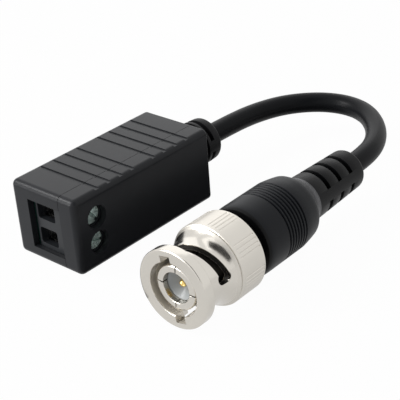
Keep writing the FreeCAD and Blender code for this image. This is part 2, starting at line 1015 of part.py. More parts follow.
def outer_contact():
    """The slotted sleeve that springs into the socket."""
    front = -contact_tip
    back = -flange_front
    cut = contact_tip_round
    sleeve = turned(
        [
            (front, contact_bore),
            (front, contact_radius - cut),
            (front + cut, contact_radius),
            (back, contact_radius),
            (back, contact_bore),
        ]
    )
    slots = []
    half = contact_slot_width / 2
    for number in range(contact_slots):
        slot = box(front - 1, -contact_slot_end, -half, half, contact_bore / 2,
                   contact_radius + 1)
        slots.append(turn_about_x(slot, contact_slot_turn + number * 360 / contact_slots))
    return cut_all(sleeve, slots)


def plug_insulator():
    """The insulator that holds the pin, in the sleeve and in the body."""
    radius = contact_bore - moulded_gap
    rod = rod_x(radius, -insulator_face, -body_bore_end)
    bore = rod_x(pin_radius + moulded_gap, -insulator_face - 1, -pin_collar_front + 1)
    collar = rod_x(pin_collar_radius + moulded_gap, -pin_collar_front, 1)
    face = -insulator_face
    dish = turned(
        [
            (face - 1, 0),
            (face - 1, insulator_dish_radius),
            (face, insulator_dish_radius),
            (face + insulator_dish_depth, insulator_dish_floor),
            (face + insulator_dish_depth, 0),
        ]
    )
    return cut_all(rod, [joined([bore, collar]), dish])


def centre_pin():
    """The gilt pin with its rounded tip and the collar that the conductor is soldered in."""
    round_start = -pin_tip + pin_radius
    bend = pin_radius * (1 - math.sqrt(0.5))
    outline = [
        arc((-pin_tip, 0), (-pin_tip + bend, pin_radius - bend), (round_start, pin_radius)),
        line((round_start, pin_radius), (-pin_collar_front, pin_radius)),
        line((-pin_collar_front, pin_radius), (-pin_collar_front, pin_collar_radius)),
        line((-pin_collar_front, pin_collar_radius), (-body_bore_end, pin_collar_radius)),
        line((-body_bore_end, pin_collar_radius), (-body_bore_end, 0)),
        line((-body_bore_end, 0), (-pin_tip, 0)),
    ]
    return turned_edges(outline)


def front_gasket():
    back = -flange_front
    return flat_ring(contact_radius + moulded_gap, gasket_outer, back - gasket_thickness, back)


def plug_body():
    """The turned body: flange, barrel and the stub that the ferrule is crimped on."""
    body = turned(
        [
            (-flange_front, contact_bore),
            (-flange_front, flange_radius),
            (flange_back, flange_radius),
            (flange_back, body_radius),
            (body_rear, body_radius),
            (body_rear, stub_radius),
            (stub_rear, stub_radius),
            (stub_rear, core_radius + moulded_gap),
            (-body_bore_end, core_radius + moulded_gap),
            (-body_bore_end, contact_bore),
        ]
    )
    return body


def plug_core():
    """The cable's own insulator, stripped of its jacket, inside the plug."""
    return rod_x(core_radius, -body_bore_end, stub_rear + ferrule_step)


def crimp_ferrule():
    """The crimped tube over the stub and the end of the jacket."""
    jacket = cable_radius + moulded_gap
    stub = stub_radius + moulded_gap
    return turned(
        [
            (body_rear, stub),
            (body_rear, ferrule_radius),
            (ferrule_rear, ferrule_radius),
            (ferrule_rear, jacket),
            (stub_rear + ferrule_step, jacket),
            (stub_rear + ferrule_step, stub),
        ]
    )


def coax_plug_end():
    return rod_x(cable_radius, stub_rear + ferrule_step, boot_end)


def boot_outside():
    tip_bend = relief_tip_round * (1 - math.sqrt(0.5))
    tip_start = boot_end - relief_tip_round
    lip = boot_radius - boot_lip_radius
    collar_end = boot_front + boot_collar
    outline = [
        line((neck_front, 0), (neck_front, neck_radius)),
        line((neck_front, neck_radius), (boot_front, neck_radius)),
        line((boot_front, neck_radius), (boot_front, boot_lip_radius)),
        line((boot_front, boot_lip_radius), (boot_front + lip, boot_lip_radius + lip / 2)),
        line((boot_front + lip, boot_lip_radius + lip / 2), (collar_end, boot_radius)),
        line((collar_end, boot_radius), (boot_taper_start, boot_radius)),
        line((boot_taper_start, boot_radius), (shoulder_place, shoulder_radius)),
        arc((shoulder_place, shoulder_radius), (shoulder_bulge_place, shoulder_bulge_radius),
            (relief_start, relief_root_radius)),
        line((relief_start, relief_root_radius), (tip_start, relief_tip_radius)),
        arc((tip_start, relief_tip_radius), (boot_end - tip_bend, relief_tip_radius - tip_bend),
            (boot_end, relief_tip_radius - relief_tip_round)),
        line((boot_end, relief_tip_radius - relief_tip_round), (boot_end, 0)),
        line((boot_end, 0), (neck_front, 0)),
    ]
    return turned_edges(outline)


def boot_inside():
    g = moulded_gap
    return joined(
        [
            rod_x(body_radius + g, neck_front - 1, body_rear),
            rod_x(ferrule_radius + g, body_rear - 0.5, ferrule_rear),
            rod_x(cable_radius + g, ferrule_rear - 0.5, boot_end + 1),
        ]
    )


def plug_boot():
    """The soft boot: ringed grip, shoulder and slotted strain relief, moulded over the ferrule."""
    rings = []
    for number in range(ring_count):
        x = ring_first + number * ring_pitch
        half = ring_width / 2
        rings.append(
            turned(
                [
                    (x - half, boot_radius + 0.2),
                    (x - half / 2, boot_radius - ring_depth),
                    (x + half / 2, boot_radius - ring_depth),
                    (x + half, boot_radius + 0.2),
                ]
            )
        )
    slots = [
        ring_slot(
            relief_slot_first + number * relief_slot_pitch,
            relief_slot_width,
            relief_core_radius,
            relief_root_radius,
            relief_rib_turn,
        )
        for number in range(relief_slots)
    ]
    return cut_all(boot_outside(), [boot_inside()] + rings + slots)


# Every node and its solid


def plug_piece(shape):
    placed = shape.copy()
    placed.Placement = plug_place.multiply(placed.Placement)
    return placed


def nodes():
    pieces = {
        "case_shell": case_shell(),
        "case_cover": case_cover(),
        "terminal_housing": terminal_housing(),
        "circuit_board": circuit_board(),
        "ferrite_core": ferrite_core(),
        "winding_line": winding(90),
        "winding_coax": winding(270),
        "cable_gland": cable_gland(),
        "coax_case_end": coax_case_end(),
        "core_wire": board_wire(core_wire_radius, cable_z + wire_spread),
        "braid_tail": board_wire(braid_radius, cable_z - wire_spread),
        "coax_cable": coax_cable(),
    }
    for number, z in enumerate(pole_z):
        pole = f"_{number + 1}"
        pieces["terminal_contact" + pole] = terminal_contact(z)
        pieces["terminal_screw" + pole] = terminal_screw(z, screw_slot_angles[number])
        pieces["terminal_cage" + pole] = terminal_cage(z)
        pieces["surge_diode" + pole] = surge_diode(diode_x[number])
    plug_makers = (
        coupling_nut,
        thrust_washer,
        retaining_ring,
        wave_washer,
        outer_contact,
        plug_insulator,
        centre_pin,
        front_gasket,
        plug_body,
        plug_core,
        crimp_ferrule,
        coax_plug_end,
        plug_boot,
    )
    for maker in plug_makers:
        pieces[maker.__name__] = plug_piece(maker())
    return pieces


os.makedirs("parts", exist_ok=True)
for node, solid in nodes().items():
    solid.exportStep(f"parts/{node}.step")
    print(node, "valid" if solid.isValid() else "NOT VALID", len(solid.Solids), "solids",
          round(solid.Volume, 2))
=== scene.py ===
import json
import logging
import math
from dataclasses import dataclass
from enum import Enum
from typing import Callable, Optional, Sequence, Union

import bmesh
import bpy
from mathutils import Matrix, Vector


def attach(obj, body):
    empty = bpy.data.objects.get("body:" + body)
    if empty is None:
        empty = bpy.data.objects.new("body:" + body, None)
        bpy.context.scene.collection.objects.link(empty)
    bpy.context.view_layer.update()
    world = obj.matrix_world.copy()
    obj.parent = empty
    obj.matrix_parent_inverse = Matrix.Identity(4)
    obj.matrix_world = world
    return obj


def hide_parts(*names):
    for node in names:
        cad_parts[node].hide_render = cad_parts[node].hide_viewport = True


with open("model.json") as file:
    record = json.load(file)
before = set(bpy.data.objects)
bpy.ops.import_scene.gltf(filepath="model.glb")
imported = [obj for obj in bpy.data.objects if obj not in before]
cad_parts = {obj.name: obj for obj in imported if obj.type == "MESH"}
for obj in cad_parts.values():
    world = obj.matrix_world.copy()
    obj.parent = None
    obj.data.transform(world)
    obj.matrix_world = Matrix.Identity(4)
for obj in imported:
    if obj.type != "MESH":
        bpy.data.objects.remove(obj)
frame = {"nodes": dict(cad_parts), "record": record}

LOG = logging.getLogger("video_balun")

Vec3 = tuple[float, float, float]
Colour = tuple[float, float, float]
Pair = tuple[float, float]
Station = tuple[float, float]
Corner = tuple[float, float, float]
Piece = bpy.types.Object
Socket = bpy.types.NodeSocket
Finishes = dict[str, bpy.types.Material]
EdgeTest = Callable[[Vector, Vector], bool]

MM = 0.001

# In mm: what counts as one point, how far joined pieces overlap, and how far a cutter reaches
# past what it cuts.
MERGE_GAP = 0.0005
OVERLAP = 0.2
PAST = 1.0

CABLE_RADIUS = 2.1
CABLE_Z = 7.7
JACKET_BORE = CABLE_RADIUS + 0.02
SHARP_EDGE = math.radians(50)

# Lathe work and rods are drawn along the local Z axis. These turn it to the row frame's axes.
ALONG_X = Matrix(((0, 0, 1, 0), (1, 0, 0, 0), (0, 1, 0, 0), (0, 0, 0, 1)))
ALONG_Y = Matrix.Rotation(-math.pi / 2, 4, "X")


class Body(Enum):
    """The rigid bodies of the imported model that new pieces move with."""

    BALUN = "balun"
    SCREW_1 = "clamp_screw_1"
    SCREW_2 = "clamp_screw_2"
    NUT = "nut"


class Half(Enum):
    """Which of the case's two halves is being made."""

    SHELL = "case_shell"
    COVER = "case_cover"


class Step(Enum):
    """How one piece works on another."""

    CUT = "DIFFERENCE"
    ADD = "UNION"


# Bench: small modelling steps that every piece uses. Pieces are drawn in millimetres.


def clear_bench() -> None:
    """Leaves edit mode and deselects everything."""
    active = bpy.context.view_layer.objects.active
    if active is not None and active.mode != "OBJECT":
        bpy.ops.object.mode_set(mode="OBJECT")
    bpy.ops.object.select_all(action="DESELECT")


def hold(piece: Piece) -> None:
    """Makes a piece the only one selected, and the active one.

    Args:
        piece: The piece to work on.
    """
    clear_bench()
    piece.select_set(True)
    bpy.context.view_layer.objects.active = piece


def open_piece(piece: Piece) -> None:
    """Opens a piece in edit mode with all of it selected.

    Args:
        piece: The piece to open.
    """
    hold(piece)
    bpy.ops.object.mode_set(mode="EDIT")
    bpy.ops.mesh.select_mode(type="VERT")
    bpy.ops.mesh.select_all(action="SELECT")


def close_up() -> None:
    """Turns the open piece's faces outwards and leaves edit mode."""
    bpy.ops.mesh.select_all(action="SELECT")
    bpy.ops.mesh.normals_make_consistent(inside=False)
    clear_bench()


def bake() -> None:
    """Puts the active piece's place, turn and size into its mesh."""
    bpy.ops.object.transform_apply(location=True, rotation=True, scale=True)


def just_added(name: str) -> Piece:
    """Names the primitive that was just added.

    Args:
        name: The piece's name.

    Returns:
        The piece, with its place in its mesh.
    """
    piece = bpy.context.object
    piece.name = name
    bake()
    return piece


def turned(piece: Piece, degrees: float) -> Piece:
    """Turns a piece's mesh about the Z axis and returns the piece."""
    piece.data.transform(Matrix.Rotation(math.radians(degrees), 4, "Z"))
    return piece


def add_block(name: str, low: Vec3, high: Vec3) -> Piece:
    """Adds a block between two corners.

    Args:
        name: The piece's name.
        low: Its lowest corner, in mm.
        high: Its highest corner, in mm.

    Returns:
        The new block.
    """
    clear_bench()
    bpy.ops.mesh.primitive_cube_add(
        size=1.0,
        location=[(a + b) / 2 for a, b in zip(low, high)],
        scale=[b - a for a, b in zip(low, high)],
    )
    return just_added(name)


def add_rod(
    name: str, radius: float, ends: Pair, placement: Matrix, sides: int = 64
) -> Piece:
    """Adds a round rod drawn along Z and then turned into place.

    Args:
        name: The piece's name.
        radius: The rod's radius, in mm.
        ends: Where it starts and ends along its axis, in mm.
        placement: The turn and shift that puts it in place.
        sides: How many sides it has.

    Returns:
        The new rod.
    """
    clear_bench()
    start, end = ends
    bpy.ops.mesh.primitive_cylinder_add(
        vertices=sides, radius=radius, depth=end - start, location=(0, 0, (start + end) / 2)
    )
    rod = just_added(name)
    rod.matrix_world = placement
    bake()
    return rod


def add_upright(name: str, inner: float, outer: float, low: float, high: float) -> Piece:
    """Adds a rectangle that stands in the XZ plane and leaves it open in edit mode.

    Args:
        name: The piece's name.
        inner: Where it starts along X, in mm.
        outer: Where it ends along X, in mm.
        low: Where it starts along Z, in mm.
        high: Where it ends along Z, in mm.

    Returns:
        The rectangle, ready to be spun into part of a ring.
    """
    clear_bench()
    bpy.ops.mesh.primitive_plane_add(size=1.0)
    sheet = just_added(name)
    open_piece(sheet)
    middle = (0, 0, 0)
    bpy.ops.transform.rotate(value=math.pi / 2, orient_axis="X", center_override=middle)
    bpy.ops.transform.resize(value=(outer - inner, 1.0, high - low), center_override=middle)
    bpy.ops.transform.translate(value=((inner + outer) / 2, 0, (low + high) / 2))
    return sheet


def swing(degrees: float, steps: int) -> None:
    """Spins what is selected about the Z axis, in that many steps."""
    sweep = -math.radians(degrees)
    bpy.ops.mesh.spin(steps=steps, angle=sweep, center=(0, 0, 0), axis=(0, 0, 1))


def rounded(corners: Sequence[Corner], steps: int = 4) -> list[Station]:
    """Rounds the corners of a closed outline.

    Args:
        corners: Points of (place, radius from the axis, corner rounding), in mm.
        steps: How many facets each rounding gets.

    Returns:
        The outline's points with the roundings in them.
    """
    path: list[Station] = []
    for index, (place, height, rounding) in enumerate(corners):
        if rounding <= 0:
            path.append((place, height))
            continue
        here = Vector((place, height))
        before = Vector(corners[index - 1][:2])
        after = Vector(corners[(index + 1) % len(corners)][:2])
        into = (here - before).normalized()
        out = (after - here).normalized()
        reach = rounding * math.tan(into.angle(out) / 2)
        centre = here - into * reach + (out - into * into.dot(out)).normalized() * rounding
        first = here - into * reach - centre
        last = here + out * reach - centre
        for step in range(steps + 1):
            spoke = first.slerp(last, step / steps).normalized() * rounding
            path.append(tuple(centre + spoke))
    return path


def turn(name: str, stations: Sequence[Station], sides: int, ring: bool = True) -> Piece:
    """Turns a piece: a hoop is added, then drawn out and resized from station to station.

    Args:
        name: The piece's name.
        stations: Its outline as (place along Z, radius), in mm.
        sides: How many sides the piece has.
        ring: Whether the last station joins the first, as on a bored piece. If not, both
            ends are capped.

    Returns:
        The turned piece, along the Z axis.
    """
    clear_bench()
    place, radius = stations[0]
    bpy.ops.mesh.primitive_circle_add(
        vertices=sides, radius=radius, fill_type="NOTHING", location=(0, 0, place)
    )
    piece = just_added(name)
    open_piece(piece)
    bpy.ops.mesh.select_mode(type="EDGE")
    for next_place, next_radius in [*stations[1:], *(stations[:1] if ring else ())]:
        bpy.ops.mesh.extrude_region_move(
            TRANSFORM_OT_translate={"value": (0, 0, next_place - place)}
        )
        share = next_radius / radius
        bpy.ops.transform.resize(
            value=(share, share, 1.0), center_override=(0.0, 0.0, next_place)
        )
        place, radius = next_place, next_radius
    bpy.ops.mesh.select_all(action="SELECT")
    bpy.ops.mesh.remove_doubles(threshold=MERGE_GAP)
    if not ring:
        bpy.ops.mesh.fill_holes(sides=0)
    close_up()
    return piece


def repeated(pattern: Piece, moves: Sequence[Matrix]) -> Piece:
    """Copies a pattern to several places and joins the copies.

    Args:
        pattern: The piece that is copied, which is used up.
        moves: Where each copy goes, from where the pattern is. Copies don't touch.

    Returns:
        The copies as one piece.
    """
    copies = []
    for move in moves:
        twin = pattern.copy()
        twin.data = pattern.data.copy()
        twin.data.transform(move)
        bpy.context.scene.collection.objects.link(twin)
        copies.append(twin)
    bpy.data.objects.remove(pattern)
    hold(copies[0])
    for twin in copies:
        twin.select_set(True)
    bpy.ops.object.join()
    return copies[0]


def combine(piece: Piece, step: Step, others: Sequence[Piece]) -> None:
    """Cuts other pieces from a piece or adds them to it, one after the other.

    Args:
        piece: The piece that is worked on.
        step: Whether they are cut or added.
        others: The other pieces, which are used up.
    """
    for other in others:
        hold(piece)
        shape = piece.modifiers.new("shape", "BOOLEAN")
        shape.operation = step.value
        shape.solver = "EXACT"
        shape.object = other
        bpy.ops.object.modifier_apply(modifier=shape.name)
        bpy.data.objects.remove(other)


def carve(piece: Piece, *cutters: Piece) -> None:
    """Cuts pieces out of a piece."""
    combine(piece, Step.CUT, cutters)


def carve_ring_slot(
    piece: Piece, place: float, width: float, radii: Pair, rib_turn: float
) -> None:
    """Cuts a ring slot that leaves two opposite ribs.

    Args:
        piece: The soft moulding, drawn along Z.
        place: The slot's middle along Z, in mm.
        width: The slot's width, in mm.
        radii: The radius that is left, and one outside the moulding, in mm.
        rib_turn: The first rib's angle, in degrees.
    """
    rib_angle, degrees_a_step = 30.0, 4
    sweep = 180.0 - rib_angle
    for side in (0.0, 180.0):
        cutter = add_upright("slot", *radii, place - width / 2, place + width / 2)
        swing(sweep, round(sweep / degrees_a_step))
        close_up()
        carve(piece, turned(cutter, rib_turn + rib_angle / 2 + side))


def round_edges(piece: Piece, size: float, facets: int, wanted: EdgeTest) -> None:
    """Rounds chosen edges of a piece.

    Args:
        piece: The piece.
        size: The rounding's radius, in mm.
        facets: How many facets the rounding has.
        wanted: Says from an edge's two ends whether it is rounded.
    """
    open_piece(piece)
    bpy.ops.mesh.select_all(action="DESELECT")
    bpy.ops.mesh.select_mode(type="EDGE")
    mesh = bmesh.from_edit_mesh(piece.data)
    for edge in mesh.edges:
        edge.select_set(wanted(edge.verts[0].co, edge.verts[1].co))
    bmesh.update_edit_mesh(piece.data)
    bpy.ops.mesh.bevel(offset=size, segments=facets, affect="EDGES", clamp_overlap=True)
    clear_bench()


def soften(piece: Piece, size: float, facets: int = 2) -> None:
    """Breaks every sharp edge of a piece.

    Args:
        piece: The piece.
        size: The rounding's size, in mm.
        facets: How many facets the rounding has.
    """
    hold(piece)
    edges = piece.modifiers.new("broken_edges", "BEVEL")
    edges.width = size
    edges.segments = facets
    edges.limit_method = "ANGLE"
    edges.angle_limit = SHARP_EDGE
    edges.use_clamp_overlap = True
    bpy.ops.object.modifier_apply(modifier=edges.name)


# Finishes


def shaded(colour: Colour, share: float) -> Colour:
    """A colour made darker or paler."""
    return tuple(c * share for c in colour)


class Wiring:
    """The nodes of a material or world, laid out by small calls.

    Args:
        owner: The material or world.
    """

    def __init__(self, owner: bpy.types.ID) -> None:
        """Starts with no nodes."""
        owner.use_nodes = True
        self.nodes = owner.node_tree.nodes
        self.links = owner.node_tree.links
        self.nodes.clear()

    def put(self, socket: Socket, value: object) -> None:
        """Joins a socket to another one, or gives it a plain value.

        Args:
            socket: The input that is fed.
            value: The output that feeds it, or its value.
        """
        if isinstance(value, bpy.types.NodeSocket):
            self.links.new(value, socket)
        else:
            socket.default_value = value

    def feed(self, node: bpy.types.Node, **values: object) -> None:
        """Feeds a node's inputs by name, with underscores for spaces."""
        for name, value in values.items():
            self.put(node.inputs[name.replace("_", " ")], value)

    def add(self, kind: str, **values: object) -> bpy.types.Node:
        """Adds a node.

        Args:
            kind: The shader node's kind.
            values: What feeds its inputs, by name, with underscores for spaces.

        Returns:
            The node.
        """
        node = self.nodes.new(f"ShaderNode{kind}")
        self.feed(node, **values)
        return node

    def work_out(self, operation: str, first: Socket, second: Union[Socket, float]) -> Socket:
        """Works out one value from two.

        Args:
            operation: The Math node's operation.
            first: The first value.
            second: The second value, or a plain number.

        Returns:
            The result's socket.
        """
        node = self.add("Math")
        node.operation = operation
        self.put(node.inputs[0], first)
        self.put(node.inputs[1], second)
        return node.outputs[0]

    def above(self, value: Socket, limit: float) -> Socket:
        """One where a value is above a limit, and zero elsewhere."""
        return self.work_out("GREATER_THAN", value, limit)

    def below(self, value: Socket, limit: float) -> Socket:
        """One where a value is below a limit, and zero elsewhere."""
        return self.work_out("LESS_THAN", value, limit)

    def times(self, first: Socket, second: Union[Socket, float]) -> Socket:
        """The product of two values."""
        return self.work_out("MULTIPLY", first, second)

    def larger(self, first: Socket, second: Socket) -> Socket:
        """The larger of two values."""
        return self.work_out("MAXIMUM", first, second)


class NodeTray(Wiring):
    """The nodes of a finish, which end in one principled shader.

    Args:
        name: The material's name.
    """

    def __init__(self, name: str) -> None:
        """Makes the material with its shader and output."""
        self.material = bpy.data.materials.new(name)
        super().__init__(self.material)
        self.shader = self.add("BsdfPrincipled")
        self.add("OutputMaterial", Surface=self.shader.outputs["BSDF"])

    def set(self, **values: object) -> None:
        """Feeds the shader's inputs by name, with underscores for spaces."""
        self.feed(self.shader, **values)

    def place(self, origin: Vec3, heading: float) -> Socket:
        """Object coordinates in millimetres from an origin, turned by a heading.

        Args:
            origin: The origin, in mm in the row frame.
            heading: The turn about Z, in degrees.

        Returns:
            The coordinates' socket.
        """
        mapping = self.add(
            "Mapping",
            Vector=self.add("TexCoord").outputs["Object"],
            Location=[c * MM for c in origin],
            Rotation=(0, 0, math.radians(heading)),
            Scale=(MM, MM, MM),
        )
        mapping.vector_type = "TEXTURE"
        return mapping.outputs["Vector"]

    def axes(self, where: Socket) -> tuple[Socket, ...]:
        """The X, Y and Z of coordinates."""
        return tuple(self.add("SeparateXYZ", Vector=where).outputs)

    def pair(self, first: Socket, second: Socket) -> Socket:
        """Two values put together as a vector's X and Y."""
        return self.add("CombineXYZ", X=first, Y=second).outputs["Vector"]

    def noise(self, where: Socket, scale: float, detail: float = 2.0) -> Socket:
        """Noise from 0 to 1, with that many waves per mm and finer layers."""
        return self.add("TexNoise", Vector=where, Scale=scale, Detail=detail).outputs["Fac"]

    def spread(
        self, value: Socket, low: float, high: float, ends: Pair = (0.25, 0.75)
    ) -> Socket:
        """Spreads a value between two others.

        Args:
            value: The value's socket.
            low: What its low end becomes.
            high: What its high end becomes.
            ends: Its low and high end. The middle half of noise's range, if not given.

        Returns:
            The spread value, which stays between its ends.
        """
        start, end = ends
        return self.add(
            "MapRange", Value=value, From_Min=start, From_Max=end, To_Min=low, To_Max=high
        ).outputs["Result"]

    def tint(self, value: Socket, first: Union[Socket, Colour], second: Colour) -> Socket:
        """Blends between two colours.

        Args:
            value: How much of the second colour there is.
            first: The first colour, or its socket.
            second: The second colour.

        Returns:
            The colour's socket.
        """
        node = self.add("Mix")
        node.data_type = "RGBA"
        start, end = (s for s in node.inputs if s.type == "RGBA")
        self.put(node.inputs[0], value)
        self.put(start, (*first, 1) if isinstance(first, tuple) else first)
        self.put(end, (*second, 1))
        return next(s for s in node.outputs if s.type == "RGBA")

    def relief(self, height: Socket, depth: float) -> None:
        """Raises the surface by a height from 0 to 1 of that depth, in mm."""
        bump = self.add("Bump", Height=height, Distance=depth * MM, Strength=1.0)
        self.set(Normal=bump.outputs["Normal"])


@dataclass(frozen=True)
class Moulded:
    """Moulded plastic or rubber with a fine grain."""

    name: str
    colour: Colour
    roughness: float
    shine: float = 0.5
    grain: float = 7.0
    depth: float = 0.004
    scatter: float = 0.03
    mottle: float = 0.12
    clouds: float = 0.35
    origin: Vec3 = (0.0, 0.0, 0.0)
    heading: float = 0.0

    def material(self) -> bpy.types.Material:
        """Builds the finish.

        Returns:
            The material.
        """
        tray = NodeTray(self.name)
        where = tray.place(self.origin, self.heading)
        cloud = tray.noise(where, self.clouds, 3.0)
        fine = tray.noise(where, self.grain, 3.0)
        rough = tray.spread(fine, self.roughness - self.scatter, self.roughness + self.scatter)
        tray.set(Base_Color=self._base(tray, where, cloud), Roughness=rough)
        tray.set(Specular_IOR_Level=self.shine)
        tray.relief(fine, self.depth)
        return tray.material

    def _base(self, tray: NodeTray, where: Socket, cloud: Socket) -> Socket:
        """The colour, slightly mottled."""
        darker = shaded(self.colour, 1 - self.mottle)
        return tray.tint(cloud, darker, shaded(self.colour, 1 + self.mottle))


@dataclass(frozen=True)
class BootRubber(Moulded):
    """Moulded rubber with a painted highlight round the foot of the cone, painted shade on the lip
    by the nut, and blacker on the strain relief.
    """

    # Painted highlight: a pale grey band round the foot of the cone stands in for a lamp's
    # reflection there, varied by slow noise.
    satin: Colour = (0.15, 0.15, 0.157)
    painted_sheen_ends: Pair = (16.3, 19.6)
    # Painted shade: the boot is blackened up to here, in the recess behind the nut's rear edge.
    lip_shade_to: float = 2.8
    relief_from: float = 20.3
    blackness: float = 0.2
    least_painted_sheen: float = 0.5

    def _base(self, tray: NodeTray, where: Socket, cloud: Socket) -> Socket:
        """The colour, by place along the boot.

        Args:
            tray: The finish's nodes.
            where: Coordinates along the boot.
            cloud: Slow noise.

        Returns:
            The colour's socket.
        """
        along = tray.axes(where)[0]
        # Painted shade on the lip by the nut; the strain relief is made blacker too.
        black = tray.larger(tray.above(along, self.relief_from), tray.below(along, self.lip_shade_to))
        base = tray.tint(black, self.colour, shaded(self.colour, self.blackness))
        # Painted highlight round the foot of the cone, left off the strain relief.
        ring = tray.spread(along, 0.0, 1.0, self.painted_sheen_ends)
        sheen_and_dullness = tray.times(ring, tray.spread(cloud, self.least_painted_sheen, 1.0))
        return tray.tint(tray.times(sheen_and_dullness, tray.below(along, self.relief_from)), base, self.satin)


@dataclass(frozen=True)
class TurnedMetal:
    """Bright turned metal with fine rings about its axis."""

    name: str
    colour: Colour
    roughness: float
    origin: Vec3
    heading: float
    rings: float = 5.0
    depth: float = 0.0006
    clouds: float = 0.5
    warmth: float = 0.965
    scatter: float = 0.2

    def material(self) -> bpy.types.Material:
        """Builds the finish.

        Returns:
            The material.
        """
        tray = NodeTray(self.name)
        where = tray.place(self.origin, self.heading)
        along, across, up = tray.axes(where)
        length = tray.add("VectorMath")
        length.operation = "LENGTH"
        tray.put(length.inputs[0], tray.pair(across, up))
        radius = length.outputs["Value"]
        cloud = tray.noise(where, self.clouds)
        bright = tray.tint(cloud, shaded(self.colour, self.warmth), self.colour)
        low, high = (self.roughness * (1 + side * self.scatter) for side in (-1, 1))
        tray.set(Metallic=1.0)
        self._dress(tray, along, radius, bright, tray.spread(cloud, low, high))
        tray.relief(tray.noise(tray.pair(along, radius), self.rings), self.depth)
        return tray.material

    def _dress(
        self, tray: NodeTray, along: Socket, radius: Socket, bright: Socket, rough: Socket
    ) -> None:
        """Gives the shader its colour and roughness."""
        tray.set(Base_Color=bright, Roughness=rough)


@dataclass(frozen=True)
class NutPlate(TurnedMetal):
    """Bright plate that is duller inside the nut, and darker there with painted shade, by place on
    the plug.
    """

    mouth_radius: float = 4.3
    mouth_metal: float = 0.1
    bore_radius: float = 4.93
    entry_radius: float = 6.15
    entry_ends: Pair = (-14.8, -12.95)
    entry_share: float = 0.5
    stain: Colour = (0.85, 0.79, 0.68)
    stain_share: float = 0.9
    grip_radius: float = 6.9
    grip_roughness: float = 0.4
    # Painted shade inside the nut: where the plate is darkened and made duller, and how far.
    shade_and_dull_radius: float = 5.8
    shade_and_dull_from: float = -11.7
    dark_from: float = -11.3
    darkness: float = 0.06
    painted_shade_share: float = 0.96
    inside_roughness: float = 0.5

    def _dress(
        self, tray: NodeTray, along: Socket, radius: Socket, bright: Socket, rough: Socket
    ) -> None:
        """Gives the shader its colour, roughness and metal, by place on the plug.

        Args:
            tray: The finish's nodes.
            along: Place along the plug's axis.
            radius: Distance from the plug's axis.
            bright: The plate's colour away from the painted shade and the stain.
            rough: Its roughness there.
        """
        # Painted shade: on the slot walls and deep inside the nut the plate is blended towards a
        # near-black copy of itself, and made rougher there too.
        deep = tray.above(along, self.dark_from)
        wall = tray.times(tray.above(radius, self.bore_radius), tray.above(along, self.shade_and_dull_from))
        inside = tray.times(tray.below(radius, self.shade_and_dull_radius), tray.larger(wall, deep))
        dark = shaded(self.colour, self.darkness)
        bright = tray.tint(tray.times(inside, self.painted_shade_share), bright, dark)
        start, end = self.entry_ends
        entry = tray.times(tray.above(along, start), tray.below(along, end))
        entry = tray.times(entry, tray.below(radius, self.entry_radius))
        mouth = tray.larger(
            tray.times(entry, self.entry_share), tray.below(radius, self.bore_radius)
        )
        mouth = tray.times(tray.above(radius, self.mouth_radius), mouth)
        bright = tray.tint(tray.times(mouth, self.stain_share), bright, self.stain)
        grip = tray.times(tray.above(radius, self.grip_radius), deep)
        rough = tray.larger(rough, tray.times(grip, self.grip_roughness))
        sheen_and_dullness = tray.times(tray.larger(inside, mouth), self.inside_roughness)
        tray.set(
            Base_Color=bright,
            Roughness=tray.larger(rough, sheen_and_dullness),
            Metallic=tray.spread(mouth, 1.0, self.mouth_metal),
        )


@dataclass(frozen=True)
class PlatedMetal:
    """Pressed or drawn metal with a plated, slightly streaked surface."""

    name: str
    colour: Colour
    roughness: float
    grain: float = 3.0
    metallic: float = 1.0
    dulling: float = 0.88
    depth: float = 0.002
    scatter: float = 0.3

    def material(self) -> bpy.types.Material:
        """Builds the finish.

        Returns:
            The material.
        """
        tray = NodeTray(self.name)
        cloud = tray.noise(tray.place((0, 0, 0), 0.0), self.grain, 3.0)
        low, high = (self.roughness * (1 + side * self.scatter) for side in (-1, 1))
        tray.set(
            Base_Color=tray.tint(cloud, shaded(self.colour, self.dulling), self.colour),
            Roughness=tray.spread(cloud, low, high),
            Metallic=self.metallic,
        )
        tray.relief(cloud, self.depth)
        return tray.material


